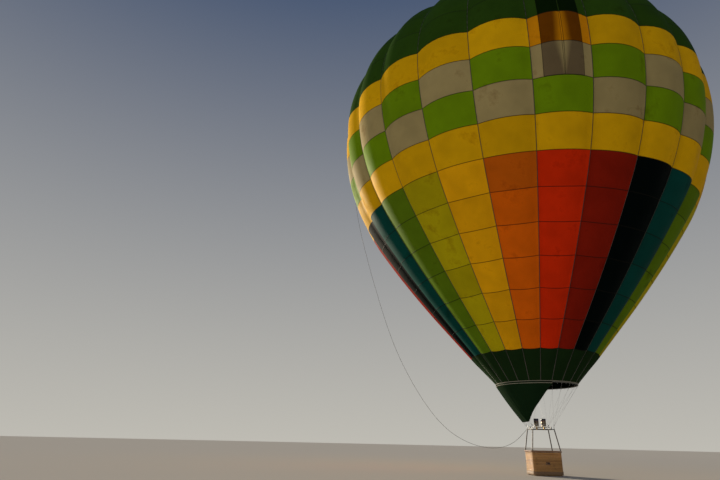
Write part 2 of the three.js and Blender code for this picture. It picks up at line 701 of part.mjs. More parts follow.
const band = (inner, outer, low, high) => [[inner, low], [outer, low], [outer, high], [inner, high]];
const basketLoop = roundedLoop(BASKET_LENGTH, BASKET_WIDTH, BASKET_CORNER, 4);
const floorTop = RUNNER.height + GAP + FLOOR_THICKNESS;
const wallFoot = floorTop + GAP;
{
  const outline = new THREE.Shape(basketLoop.map(({ at }) => new THREE.Vector2(...at)));
  const slab = new THREE.ExtrudeGeometry(outline, { depth: FLOOR_THICKNESS, bevelEnabled: false });
  add('basket_floor', closed(slab.translate(0, 0, RUNNER.height + GAP)), 'wood');

  const sides = carried(basketLoop, band(-WALL_THICKNESS, 0, wallFoot, WALL_TOP));
  const stepHole = box(
    STEP_HOLE.width, BASKET_WIDTH + 100, STEP_HOLE.height,
    0, 0, STEP_HOLE.sill + STEP_HOLE.height / 2,
  );
  add('basket_walls', cut(sides, stepHole), 'wicker');

  const low = RUNNER.height + 3;
  const hide = band(0.4, HIDE_BAND.thick, low, low + HIDE_BAND.height);
  add('hide_band', carried(basketLoop, hide), 'leather');

  const half = RIM.width / 2;
  const middle = -WALL_THICKNESS / 2;
  const rimFoot = WALL_TOP + GAP;
  const rimSection = [
    [middle - half + 14, rimFoot], [middle + half - 14, rimFoot], [middle + half, rimFoot + 20],
    [middle + half, rimTop - 22], [middle + half - 24, rimTop], [middle - half + 24, rimTop],
    [middle - half, rimTop - 22], [middle - half, rimFoot + 20],
  ];
  add('rim_padding', carried(basketLoop, rimSection), 'leather');
}
for (const [name, row] of [['front', -1], ['middle', 0], ['rear', 1]]) {
  const bar = box(RUNNER.length, RUNNER.width, RUNNER.height, 0, row * RUNNER.spacing, RUNNER.height / 2);
  add(`runner_${name}`, closed(bar), 'wood');
}

// Covered uprights, from the rim to the frame's sockets
for (const [corner, sx, sy] of CORNERS) {
  const low = uprightFoot(sx, sy);
  const head = uprightHead(sx, sy);
  const along = head.clone().sub(low).normalize();
  const start = low.clone().addScaledVector(along, 8);
  const end = head.clone().addScaledVector(along, -SOCKET_LENGTH - GAP);
  add(`upright_${corner}`, closed(rod(start.toArray(), end.toArray(), UPRIGHT_RADIUS, 12)), 'cover');
}

// Fuel cylinders, standing in the corners of the basket in their padded covers
for (const [corner, sx, sy] of CORNERS) {
  const r = CYLINDER_RADIUS;
  const low = floorTop + GAP;
  const top = low + CYLINDER_BODY;
  const profile = [
    [0, low], [r, low], [r, top], [r - 46, top + 72], [r - 62, top + 80], [r - 62, top + 150],
    [r - 70, top + 150], [r - 70, top + 90], [26, top + 96], [26, top + 138], [0, top + 138],
  ];
  const x = sx * (BASKET_LENGTH / 2 - WALL_THICKNESS - CYLINDER_INSET.x);
  const y = sy * (BASKET_WIDTH / 2 - WALL_THICKNESS - CYLINDER_INSET.y);
  add(`fuel_cylinder_${corner}`, turned(profile, 16).translate(x, y, 0), 'cover');
}

// Crown line
{
  const overTape = [CROWN_AT + CROWN_RING_RADIUS + CROWN_RING_ROD + 30, CROWN_AT + 1500];
  const lying = overTape.map((at) => skinPoint(at, LINE_GORE, -1, LINE_LIFT));
  for (let row = -ROWS_TO_VALVE; rowAt(row) < LINE_LEAVES; row++) {
    const share = LINE_SHARES[row + ROWS_TO_VALVE] ?? 0;
    lying.push(skinPoint(rowAt(row), LINE_GORE, share, LINE_LIFT));
  }
  const leaves = skinPoint(LINE_LEAVES, LINE_GORE, 0, LINE_LIFT);
  add('crown_line_lying', tube([...lying, leaves], LINE_RADIUS, LINE_STEPS.lying), 'rope');
  const plane = seamAngle(LINE_GORE + 0.5);
  const [x, y, z] = leaves;
  const route = LINE_ROUTE.map(([distance, height]) => around(distance, height, plane));
  const hanging = [[x, y, z - 1], ...route, LINE_END];
  add('crown_line_hanging', tube(hanging, LINE_RADIUS, LINE_STEPS.hanging), 'rope');
}

// The assembly, dropped so that its origin is the centre of the widest ring
const part = new THREE.Group();
for (const mesh of Object.values(pieces)) part.add(mesh);
part.position.z = -EQUATOR_HEIGHT;
part.updateMatrixWorld(true);

export default part;
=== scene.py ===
# %% [markdown]
# # A hot air balloon, standing inflated
#
# The balloon is a bag of 24 long strips of cloth, called gores, sewn side by side and carried by
# woven tapes along the seams. Under it hang the burners, their frame and a wicker basket.
# The solids of every part are already packed as a fixed frame. This lesson dresses them: it keeps
# each part where the frame has it, and makes the surface that the eye sees.

# %% Load the frame
import math
import random

import bmesh
import bpy
from mathutils import Matrix, Vector


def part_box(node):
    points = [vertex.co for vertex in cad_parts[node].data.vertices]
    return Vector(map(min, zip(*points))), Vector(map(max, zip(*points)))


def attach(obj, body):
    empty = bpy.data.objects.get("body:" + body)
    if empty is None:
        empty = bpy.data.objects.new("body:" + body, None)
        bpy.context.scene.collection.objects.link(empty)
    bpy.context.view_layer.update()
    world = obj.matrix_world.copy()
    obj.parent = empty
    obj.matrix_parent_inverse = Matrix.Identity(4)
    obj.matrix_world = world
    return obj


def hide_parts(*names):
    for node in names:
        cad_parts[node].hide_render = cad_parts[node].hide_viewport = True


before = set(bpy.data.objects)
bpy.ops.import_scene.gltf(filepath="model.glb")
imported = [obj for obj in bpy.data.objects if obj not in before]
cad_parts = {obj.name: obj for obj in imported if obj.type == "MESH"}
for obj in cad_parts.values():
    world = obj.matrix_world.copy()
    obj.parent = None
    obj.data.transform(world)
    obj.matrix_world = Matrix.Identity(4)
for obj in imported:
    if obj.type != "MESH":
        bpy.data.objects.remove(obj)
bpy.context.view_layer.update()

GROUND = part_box("runner_middle")[0][2]
print("ground is", round(-GROUND, 3), "m under the widest ring")

# %% [markdown]
# ## The camera
#
# The photograph looks up from standing height, with the widest part of the balloon high above.
# Blender's lens is given in millimetres on a 36 mm wide sensor, so a focal length measured in
# pixels is divided by the picture's width. The balloon leans a little to the right in the
# picture. The object stays upright here and the camera takes the lean.

# %% Camera
bpy.context.scene.view_settings.view_transform = "Standard"
PICTURE_WIDTH = 720
FOCAL_PIXELS = 518.85
CAMERA_PLACE = Vector((-9.40, -28.79, GROUND + 1.40))
CAMERA_PITCH = math.radians(21.24)
CAMERA_LEAN = 0.021

camera_data = bpy.data.cameras.new("camera")
camera_data.sensor_width = 36.0
camera_data.lens = 36.0 * FOCAL_PIXELS / PICTURE_WIDTH
camera_data.clip_end = 2000.0
camera = bpy.data.objects.new("camera", camera_data)
bpy.context.scene.collection.objects.link(camera)
lean = Matrix.Rotation(-CAMERA_LEAN, 4, "Y")
pitch = Matrix.Rotation(math.radians(90) + CAMERA_PITCH, 4, "X")
camera.matrix_world = Matrix.Translation(CAMERA_PLACE) @ lean @ pitch
bpy.context.scene.camera = camera
print("lens", round(camera_data.lens, 2), "mm")

# %% [markdown]
# ## The form of the envelope
#
# A balloon is drawn from its seam line, the profile that a load tape follows from the crown to
# the mouth. Two arcs make the crown, two more the side, and a straight cone the rest. Every
# point of cloth is then named by how far it lies down the seam line, which gore it is in and how
# far across that gore. Between its seams each gore stands out in a shallow bulge.

# %% The seam line and the skin
EQUATOR_RADIUS = 10.35
MOUTH_RADIUS = 2.09
SHOULDER_ARC = 7.65
SHOULDER_ANGLE = math.radians(50)
SHOULDER_TOP = EQUATOR_RADIUS - SHOULDER_ARC * (1 - math.cos(SHOULDER_ANGLE))
TOP_ARC = SHOULDER_TOP / math.cos(SHOULDER_ANGLE)
CROWN_ARCS = ((SHOULDER_ARC, SHOULDER_ANGLE), (TOP_ARC, math.pi / 2))
SIDE_ARCS = ((12.0, math.radians(33)), (60.0, math.radians(39)))

GORES = 24
GORE_ANGLE = math.tau / GORES
FIRST_SEAM = math.radians(-11.66)
ROW_PITCH = 1.6
FIRST_ROW = -0.48
BULGE = 0.11
SHELL = 0.010


def seam_at(distance):
    """Radius, height and slope of the seam line at a distance below the widest ring."""
    sign = 1 if distance >= 0 else -1
    left = abs(distance)
    radius, drop, slope = EQUATOR_RADIUS, 0.0, 0.0
    for arc, until in (SIDE_ARCS if sign > 0 else CROWN_ARCS):
        turn = min(left / arc, until - slope)
        radius -= arc * (math.cos(slope) - math.cos(slope + turn))
        drop += arc * (math.sin(slope + turn) - math.sin(slope))
        slope += turn
        left -= arc * turn
    radius -= left * math.sin(slope)
    drop += left * math.cos(slope)
    return radius, -sign * drop, sign * slope


def arcs_length(arcs):
    starts = [0.0] + [until for _, until in arcs]
    return sum(arc * (until - start) for (arc, until), start in zip(arcs, starts))


CROWN_AT = -arcs_length(CROWN_ARCS)
CONE_AT = arcs_length(SIDE_ARCS)
MOUTH_AT = CONE_AT + (seam_at(CONE_AT)[0] - MOUTH_RADIUS) / math.sin(SIDE_ARCS[-1][1])


def row_at(row):
    return FIRST_ROW + row * ROW_PITCH


def seam_angle(seam):
    """The angle of a seam round the axis, from the front, -Y, towards +X."""
    return FIRST_SEAM + seam * GORE_ANGLE


def around(radius, height, angle):
    return Vector((radius * math.sin(angle), -radius * math.cos(angle), height))


def gore_width(distance):
    return 2 * seam_at(distance)[0] * math.sin(GORE_ANGLE / 2)


def skin(distance, gore, share, lift=0.0):
    """A point of the cloth: share is -1 at the gore's first seam and 1 at its next."""
    radius, height, slope = seam_at(distance)
    fade = min(1.0, max(0.0, (MOUTH_AT - distance) / ROW_PITCH))
    out = lift + BULGE * gore_width(distance) * fade * (1 - share * share)
    angle = seam_angle(gore + (share + 1) / 2)
    return around(radius + out * math.cos(slope), height - out * math.sin(slope), angle)


print("seam line is", round(MOUTH_AT - CROWN_AT, 2), "m from crown to mouth")

# %% [markdown]
# ## Tubes and strips
#
# Ropes, frame tubes, padding and wicker are all one section carried along a path. Blender has
# curve objects for that, but a mesh keeps a map of how far along and round each point lies,
# which the weave of a rope needs. So a flat grid is rolled up: its points are moved one by one on
# to the path. The section's sides turn as little as possible from one step to the next.

# %% Path helpers
TINY = 1e-6
WELD = 1e-5
SEW = 1e-4
UP = Vector((0, 0, 1))


def smooth_path(points, step):
    """A smooth curve through points, sampled about every step metres."""
    knots = [Vector(point) for point in points]
    ends = [2 * knots[0] - knots[1]] + knots + [2 * knots[-1] - knots[-2]]
    path = []
    for before, start, end, after in zip(ends, ends[1:], ends[2:], ends[3:]):
        parts = max(1, round((end - start).length / step))
        first, middle, last = (
            max(TINY, (b - a).length ** 0.5) for a, b in ((before, start), (start, end), (end, after))
        )
        leave = (start - before) / first - (end - before) / (first + middle) + (end - start) / middle
        reach = (end - start) / middle - (after - start) / (middle + last) + (after - end) / last
        leave, reach = leave * middle, reach * middle
        for part in range(parts):
            t = part / parts
            path.append(
                (2 * t ** 3 - 3 * t ** 2 + 1) * start + (t ** 3 - 2 * t ** 2 + t) * leave
                + (3 * t ** 2 - 2 * t ** 3) * end + (t ** 3 - t ** 2) * reach
            )
    return path + [knots[-1]]


def path_length(path):
    return sum((b - a).length for a, b in zip(path, path[1:]))


def frames_along(path, loop=False):
    """For each point of a path: the point, and two directions square to the path there."""
    count = len(path)
    frames = []
    side = None
    for i, point in enumerate(path):
        ahead = path[(i + 1) % count] if loop else path[min(i + 1, count - 1)]
        behind = path[(i - 1) % count] if loop else path[max(i - 1, 0)]
        along = (ahead - behind).normalized()
        if side is None:
            side = along.orthogonal() if abs(along.z) > 0.9 else along.cross(UP)
        side = (side - along * side.dot(along)).normalized()
        frames.append((point, side, along.cross(side)))
    return frames


def loop_round(centre, first, second, count):
    """Points once round an ellipse, from the end of its first half axis towards its second's."""
    turns = [math.tau * k / count for k in range(count)]
    return [centre + first * math.cos(turn) + second * math.sin(turn) for turn in turns]


def hoop(radius, height, count, x=0.0):
    """Points once round an upright axis at x, from the front."""
    return loop_round(Vector((x, 0, height)), Vector((0, -radius, 0)), Vector((radius, 0, 0)), count)


def rounded_rectangle(half_width, half_height, bend, steps):
    """Points (across, up) once round a rectangle whose corners are bent in steps."""
    points = []
    for across, up, start in ((1, 1, 0), (-1, 1, 90), (-1, -1, 180), (1, -1, 270)):
        for step in range(steps + 1):
            turn = math.radians(start + 90 / steps * step)
            points.append((
                across * (half_width - bend) + bend * math.cos(turn),
                up * (half_height - bend) + bend * math.sin(turn),
            ))
    return points


# %% Mesh helpers
def patch(mesh, columns, rows, place):
    """A unit grid in the mesh, its points moved by place(u, v), with u and v kept as its map."""
    grid = bmesh.ops.create_grid(mesh, x_segments=columns, y_segments=rows, size=0.5)
    chart = mesh.loops.layers.uv.verify()
    faces = list({face for vert in grid["verts"] for face in vert.link_faces})
    for face in faces:
        for loop in face.loops:
            loop[chart].uv = (loop.vert.co.x + 0.5, 0.5 - loop.vert.co.y)
    for vert in grid["verts"]:
        vert.co = place(vert.co.x + 0.5, 0.5 - vert.co.y)
    return grid["verts"], faces


def close_up(mesh, verts, faces):
    """Join the meeting edges of a rolled grid, cap its ends and point its faces outwards."""
    bmesh.ops.remove_doubles(mesh, verts=verts, dist=WELD)
    kept = [face for face in faces if face.is_valid]
    open_edges = [edge for edge in {e for face in kept for e in face.edges} if edge.is_boundary]
    if open_edges:
        kept += bmesh.ops.holes_fill(mesh, edges=open_edges, sides=0)["faces"]
    bmesh.ops.recalc_face_normals(mesh, faces=kept)


def oval(half_width, half_height):
    """A section for tube(): it gives (across, up) for a share of a turn."""
    def section(turn):
        return half_width * math.cos(math.tau * turn), half_height * math.sin(math.tau * turn)
    return section


def tube(mesh, path, section, sides=8, loop=False):
    """Roll a grid into a tube along a path. Its section is a radius or a function like oval()'s."""
    frames = frames_along(path, loop)
    if loop:
        frames = frames + frames[:1]
    steps = len(frames) - 1
    outline = section if callable(section) else oval(section, section)

    def place(u, v):
        point, side, up = frames[min(steps, round(v * steps))]
        a, b = outline(u)
        return point + a * side + b * up

    close_up(mesh, *patch(mesh, sides, steps, place))


def rod(mesh, start, end, radius, sides=12):
    """A straight round bar between two points."""
    start, end = Vector(start), Vector(end)
    turn = (end - start).to_track_quat("Z", "Y").to_matrix().to_4x4()
    place = Matrix.Translation((start + end) / 2) @ turn
    bmesh.ops.create_cone(
        mesh, cap_ends=True, segments=sides, radius1=radius, radius2=radius,
        depth=(end - start).length, matrix=place,
    )


def round_over(mesh, edges, width, segments=2):
    bmesh.ops.bevel(
        mesh, geom=edges, offset=width, offset_type="OFFSET", segments=segments, profile=0.5,
        affect="EDGES", clamp_overlap=True, material=-1,
    )


def block(mesh, size, centre, soften=0.0):
    """A box, with its edges rounded over."""
    place = Matrix.Translation(Vector(centre)) @ Matrix.Diagonal((*size, 1))
    made = bmesh.ops.create_cube(mesh, size=1.0, matrix=place)
    if soften:
        round_over(mesh, list({edge for vert in made["verts"] for edge in vert.link_edges}), soften)


def lathe(mesh, profile, place=None, steps=48):
    """Turn a profile of (radius, height) round the Z axis."""
    older = set(mesh.verts)
    verts = [mesh.verts.new((radius, 0, height)) for radius, height in profile]
    edges = [mesh.edges.new(pair) for pair in zip(verts, verts[1:])]
    bmesh.ops.spin(
        mesh, geom=verts + edges, cent=(0, 0, 0), axis=(0, 0, 1), angle=math.tau,
        steps=steps, use_merge=True,
    )
    turned = [vert for vert in mesh.verts if vert not in older]
    bmesh.ops.remove_doubles(mesh, verts=turned, dist=WELD)
    turned = [vert for vert in turned if vert.is_valid]
    faces = list({face for vert in turned for face in vert.link_faces})
    bmesh.ops.recalc_face_normals(mesh, faces=faces)
    if place is not None:
        bmesh.ops.transform(mesh, matrix=place, verts=turned)


def band(mesh, inner, outer, low, high, place=None, steps=48):
    """A round band with a square section."""
    corners = [(inner, low), (outer, low), (outer, high), (inner, high), (inner, low)]
    lathe(mesh, corners, place, steps)


# %% Turn a mesh in the making into a piece
PIECES = []


def piece(name, mesh, material, slot, *nodes, body="balloon", sharp=40, wall=0.0, offset=-1.0):
    """Finish a mesh as an object that rides on a body and stands for the named nodes.

    An open sheet of cloth gets a wall. Its open edges are sharp, or the narrow rim of the wall
    would bend the light on it.
    """
    mesh.edges.index_update()
    open_edges = [edge.index for edge in mesh.edges if edge.is_boundary]
    data = bpy.data.meshes.new(name)
    mesh.to_mesh(data)
    mesh.free()
    data.shade_smooth()
    data.set_sharp_from_angle(angle=math.radians(180 if wall else sharp))
    for index in open_edges:
        data.edges[index].use_edge_sharp = True
    data.materials.append(material)
    made = bpy.data.objects.new(name, data)
    bpy.context.scene.collection.objects.link(made)
    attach(made, body)
    if nodes:
        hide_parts(*nodes)
    if wall:
        solid = made.modifiers.new("thickness", "SOLIDIFY")
        solid.thickness = wall
        solid.offset = offset
        solid.use_even_offset = False
    PIECES.append(made)
    print(f"{name}: {len(data.polygons)} faces")
    return made


# %% [markdown]
# ## Node groups for the finishes
#
# Several finishes share an effect. The seams of the cloth, a woven thread pattern, a soft stain
# and brushed streaks are each built once as a group with named sockets, and every material
# places the group with values of its own. A group puts out only masks and heights.

# %% Helpers for node trees
def new_group(name, outputs, **inputs):
    """A group that puts out numbers. Its inputs are numbers too, or vectors where None is given."""
    group = bpy.data.node_groups.new(name, "ShaderNodeTree")
    for label, value in inputs.items():
        kind = "NodeSocketVector" if value is None else "NodeSocketFloat"
        socket = group.interface.new_socket(label, in_out="INPUT", socket_type=kind)
        if value is not None:
            socket.default_value = value
    for label in outputs:
        group.interface.new_socket(label, in_out="OUTPUT", socket_type="NodeSocketFloat")
    print("made group", name)
    return group, group.nodes.new("NodeGroupInput").outputs, group.nodes.new("NodeGroupOutput").inputs


def feed(tree, socket, value):
    """Link a socket to a socket, or set it to a value."""
    if isinstance(value, bpy.types.NodeSocket):
        tree.links.new(value, socket)
    elif value is not None:
        socket.default_value = value


def calc(tree, operation, *values):
    node = tree.nodes.new("ShaderNodeMath")
    node.operation = operation
    for socket, value in zip(node.inputs, values):
        feed(tree, socket, value)
    return node.outputs[0]


def scaled(tree, vector, scale):
    node = tree.nodes.new("ShaderNodeMapping")
    node.inputs["Scale"].default_value = scale
    feed(tree, node.inputs["Vector"], vector)
    return node.outputs[0]


def noise(tree, vector, scale, detail=3.0, roughness=0.55):
    node = tree.nodes.new("ShaderNodeTexNoise")
    feed(tree, node.inputs["Vector"], vector)
    feed(tree, node.inputs["Scale"], scale)
    feed(tree, node.inputs["Detail"], detail)
    feed(tree, node.inputs["Roughness"], roughness)
    return node.outputs["Fac"]


def remap(tree, value, low, high, to_low=0.0, to_high=1.0):
    node = tree.nodes.new("ShaderNodeMapRange")
    feed(tree, node.inputs["Value"], value)
    limits = {"From Min": low, "From Max": high, "To Min": to_low, "To Max": to_high}
    for label, number in limits.items():
        feed(tree, node.inputs[label], number)
    return node.outputs[0]


def mix_colour(tree, share, first, second, blend="MIX"):
    node = tree.nodes.new("ShaderNodeMix")
    node.data_type = "RGBA"
    node.blend_type = blend
    feed(tree, node.inputs[0], share)
    feed(tree, node.inputs[6], first)
    feed(tree, node.inputs[7], second)
    return node.outputs[2]


def parts_of(tree, vector):
    node = tree.nodes.new("ShaderNodeSeparateXYZ")
    feed(tree, node.inputs[0], vector)
    return node.outputs


# %% Sewn seams group
seams, seams_in, seams_out = new_group(
    "sewn seams", ["Line", "Height"], Edges=None, Weave=None, Seam_Width=0.02, Pucker_Reach=0.14,
)
side_gap, row_gap, _ = parts_of(seams, seams_in["Edges"])
nearest = calc(seams, "MINIMUM", side_gap, row_gap)
edge_of_seam = calc(seams, "MULTIPLY", seams_in["Seam_Width"], 1.4)
line = remap(seams, nearest, seams_in["Seam_Width"], edge_of_seam, 1.0, 0.0)
puckers = []
for gap, folds in ((side_gap, (0.8, 9.0, 1.0)), (row_gap, (9.0, 0.8, 1.0))):
    near = remap(seams, gap, 0.0, seams_in["Pucker_Reach"], 1.0, 0.0)
    fold = noise(seams, scaled(seams, seams_in["Weave"], folds), 1.6, 2.0)
    puckers.append(calc(seams, "MULTIPLY", calc(seams, "MULTIPLY", near, near), fold))
pucker = calc(seams, "MULTIPLY_ADD", puckers[1], 0.12, puckers[0])
feed(seams, seams_out["Line"], line)
feed(seams, seams_out["Height"], calc(seams, "MULTIPLY_ADD", line, 0.15, pucker))

# %% Woven threads group
weave, weave_in, weave_out = new_group(
    "woven threads", ["Height", "Rip"], Vector=None, Pitch=0.005, Rip_Every=6.0,
)
warp, weft, _ = parts_of(weave, weave_in["Vector"])
turns = calc(weave, "DIVIDE", math.tau, weave_in["Pitch"])
rip_pitch = calc(weave, "MULTIPLY", weave_in["Pitch"], weave_in["Rip_Every"])
waves, rips = [], []
for thread in (warp, weft):
    waves.append(calc(weave, "SINE", calc(weave, "MULTIPLY", thread, turns)))
    spot = calc(weave, "FRACT", calc(weave, "DIVIDE", thread, rip_pitch))
    rips.append(remap(weave, calc(weave, "PINGPONG", spot, 0.5), 0.0, 0.12, 1.0, 0.0))
rip = calc(weave, "MAXIMUM", *rips)
feed(weave, weave_out["Height"], calc(weave, "MULTIPLY_ADD", calc(weave, "MULTIPLY", *waves), 0.5, rip))
feed(weave, weave_out["Rip"], rip)

# %% Stains group
stains, stains_in, stains_out = new_group(
    "stains and fading", ["Mask", "Fading"], Vector=None, Size=1.0, Amount=0.3,
)
rate = calc(stains, "DIVIDE", 1.0, stains_in["Size"])
blots = remap(stains, noise(stains, stains_in["Vector"], rate, 5.0, 0.62), 0.58, 0.72)
feed(stains, stains_out["Mask"], calc(stains, "MULTIPLY", blots, stains_in["Amount"]))
feed(stains, stains_out["Fading"], noise(stains, stains_in["Vector"], rate, 2.0))

# %% Streaks group
streaks, streaks_in, streaks_out = new_group(
    "streaks", ["Streak", "Patch"], Vector=None, Scale=60.0, Stretch=None,
)
stretch = streaks.nodes.new("ShaderNodeVectorMath")
stretch.operation = "MULTIPLY"
feed(streaks, stretch.inputs[0], streaks_in["Vector"])
feed(streaks, stretch.inputs[1], streaks_in["Stretch"])
feed(streaks, streaks_out["Streak"], noise(streaks, stretch.outputs[0], streaks_in["Scale"], 4.0))
feed(streaks, streaks_out["Patch"], noise(streaks, streaks_in["Vector"], 4.0, 3.0))


# %% Start a material
def new_material(name, roughness, metallic=0.0, sheen=0.0, coat=0.0, specular=0.5):
    material = bpy.data.materials.new(name)
    material.use_nodes = True
    shader = material.node_tree.nodes["Principled BSDF"]
    settings = {
        "Roughness": roughness, "Metallic": metallic, "Sheen Weight": sheen, "Coat Weight": coat,
        "Specular IOR Level": specular,
    }
    for label, value in settings.items():
        shader.inputs[label].default_value = value
    print("made material", name)
    return material, material.node_tree, shader


def place_group(tree, group, **values):
    node = tree.nodes.new("ShaderNodeGroup")
    node.node_tree = group
    for label, value in values.items():
        feed(tree, node.inputs[label], value)
    return node.outputs


def own_map(tree, name):
    node = tree.nodes.new("ShaderNodeUVMap")
    node.uv_map = name
    return node.outputs[0]


def object_coordinates(tree):
    return tree.nodes.new("ShaderNodeTexCoord").outputs["Object"]


def finish(tree, shader, colour, mask, smoothest, roughest):
    """Feed the colour, and a roughness that follows a mask."""
    feed(tree, shader.inputs["Base Color"], colour)
    feed(tree, shader.inputs["Roughness"], remap(tree, mask, 0.3, 0.7, smoothest, roughest))


def bump(tree, shader, height, distance):
    node = tree.nodes.new("ShaderNodeBump")
    node.inputs["Distance"].default_value = distance
    feed(tree, node.inputs["Height"], height)
    feed(tree, shader.inputs["Normal"], node.outputs[0])


# %% [markdown]
# ## The crown line
#
# A long line is tied to the ring at the crown. It steadies the top while the envelope fills, and
# then it comes down the outside and is made fast below. Its slack hangs in a curve under its own
# weight. It is the one free cord here, so it comes first. It is a tube with its own map, because
# a braid has to follow the line round its bends.

# %% Crown line
LINE_RADIUS = 0.008
LINE_LIFT = 0.024
LINE_GORE = -7
LINE_SHARES = (-1, -0.85, -0.55, -0.25, -0.08)
LINE_LEAVES = 0.7
LINE_ROUTE = (
    (10.655, 17.70), (10.575, 16.50), (10.350, 15.20), (10.060, 13.90), (9.720, 12.60),
    (9.370, 11.35), (9.000, 10.10), (8.610, 8.85), (8.180, 7.60), (7.700, 6.40),
    (7.190, 5.35), (6.630, 4.35), (6.020, 3.42), (5.360, 2.60), (4.680, 1.99),
    (4.000, 1.59), (3.350, 1.35), (2.700, 1.24), (2.100, 1.27), (1.600, 1.43),
    (1.180, 1.70), (0.880, 1.99), (0.700, 2.17),
)
LINE_END = Vector((-0.574, 0.199, GROUND + 2.195))
ROWS_TO_VALVE = 7

line_points = [skin(CROWN_AT + start, LINE_GORE, -1, LINE_LIFT) for start in (0.3, 1.5)]
for row in range(-ROWS_TO_VALVE, 1):
    stage = row + ROWS_TO_VALVE
    share = LINE_SHARES[stage] if stage < len(LINE_SHARES) else 0
    line_points.append(skin(row_at(row), LINE_GORE, share, LINE_LIFT))
line_points.append(skin(LINE_LEAVES, LINE_GORE, 0, LINE_LIFT))
line_plane = seam_angle(LINE_GORE + 0.5)
line_points += [around(radius, GROUND + height, line_plane) for radius, height in LINE_ROUTE]
line_path = smooth_path(line_points + [LINE_END], 0.2)


def braid_material():
    """Two sets of yarns that wind round the line in opposite directions."""
    material, tree, shader = new_material("braided line", 0.8, sheen=0.3)
    turn, along, _ = parts_of(tree, own_map(tree, "UVMap"))
    winds = []
    for sign in (1.0, -1.0):
        wound = calc(tree, "MULTIPLY", along, 9000.0)
        phase = calc(tree, "MULTIPLY_ADD", turn, 6.0 * math.tau * sign, wound)
        winds.append(calc(tree, "SINE", phase))
    height = calc(tree, "MAXIMUM", *winds)
    bump(tree, shader, height, 0.0012)
    # The colour follows the height of the yarns: painted shade, darker in the grooves between them.
    painted_shade = remap(tree, height, -0.6, 1.0)
    flecks = noise(tree, object_coordinates(tree), 6.0, 4.0)
    colour = mix_colour(tree, painted_shade, (0.004, 0.004, 0.004, 1), (0.022, 0.021, 0.020, 1))
    feed(tree, shader.inputs["Base Color"], mix_colour(tree, flecks, colour, (0.030, 0.028, 0.025, 1)))
    return material


braid = braid_material()
line_mesh = bmesh.new()
tube(line_mesh, line_path, LINE_RADIUS)
crown_line = piece(
    "crown_line", line_mesh, braid, "rope", "crown_line_lying", "crown_line_hanging",
)
line_length = path_length(line_path)
print("crown line", round(line_length, 2), "m")

# %% [markdown]
# ## Floor and light
#
# The studio is a pale floor under a plain sky that is pale near the ground and bluer above. A
# lamp stands low on the left and behind, the side that the light comes from in the photograph, so
# the left edge of the envelope is bright. A weaker, very soft lamp fills the front, and the
# form reads from the change of light across the gores.

# %% Floor, sky and lamps
floor_mesh = bmesh.new()
bmesh.ops.create_circle(floor_mesh, cap_ends=True, segments=96, radius=400.0)
bmesh.ops.translate(floor_mesh, verts=floor_mesh.verts, vec=(0, 0, GROUND - 0.001))
floor_data = bpy.data.meshes.new("floor")
floor_mesh.to_mesh(floor_data)
floor_mesh.free()
floor = bpy.data.objects.new("floor", floor_data)
bpy.context.scene.collection.objects.link(floor)
floor_material, _, floor_shader = new_material("pale floor", 0.9, specular=0.0)
floor_shader.inputs["Base Color"].default_value = (0.52, 0.50, 0.46, 1)
floor_data.materials.append(floor_material)

world = bpy.data.worlds.new("sky")
world.use_nodes = True
sky = world.node_tree
backdrop = sky.nodes["Background"]
ramp = sky.nodes.new("ShaderNodeValToRGB")
ramp.color_ramp.elements[0].color = (0.95, 0.92, 0.83, 1)
ramp.color_ramp.elements[1].color = (0.10, 0.16, 0.30, 1)
ramp.color_ramp.elements[1].position = 0.75
sky_up = parts_of(sky, sky.nodes.new("ShaderNodeTexCoord").outputs["Generated"])[2]
feed(sky, ramp.inputs["Fac"], remap(sky, sky_up, 0.0, 1.0))
feed(sky, backdrop.inputs["Color"], ramp.outputs["Color"])
backdrop.inputs["Strength"].default_value = 0.54
bpy.context.scene.world = world


def far_lamp(name, azimuth, elevation, strength, softness, colour):
    """A lamp far away, at an azimuth from the front, -Y, towards +X and above the floor."""
    data = bpy.data.lights.new(name, "SUN")
    data.energy = strength
    data.angle = math.radians(softness)
    data.color = colour
    lamp = bpy.data.objects.new(name, data)
    from_lamp = -around(math.cos(elevation), math.sin(elevation), azimuth)
    lamp.rotation_euler = from_lamp.to_track_quat("-Z", "Y").to_euler()
    bpy.context.scene.collection.objects.link(lamp)


far_lamp("low lamp on the left", math.radians(-146), math.radians(13), 6.0, 5, (1.0, 0.86, 0.66))
far_lamp("front fill", math.radians(-42), math.radians(0.5), 0.95, 60, (1.0, 0.94, 0.84))
print("floor, sky and two lamps")

# %% [markdown]
# ## Balloon cloth
#
# The envelope is coated ripstop: a thin weave with a thicker thread every few millimetres. It is
# sewn from panels, row by row, with a felled seam round each panel that puckers the cloth beside
# it. The colour belongs to the panel, so it is kept as a colour attribute on the mesh. Two maps in
# metres carry the rest: one for the weave, and one that tells how far the nearest seam is.

# %% Cloth material
SEAM_WIDTH = 0.016
CLOTH_GLOSS = 0.010


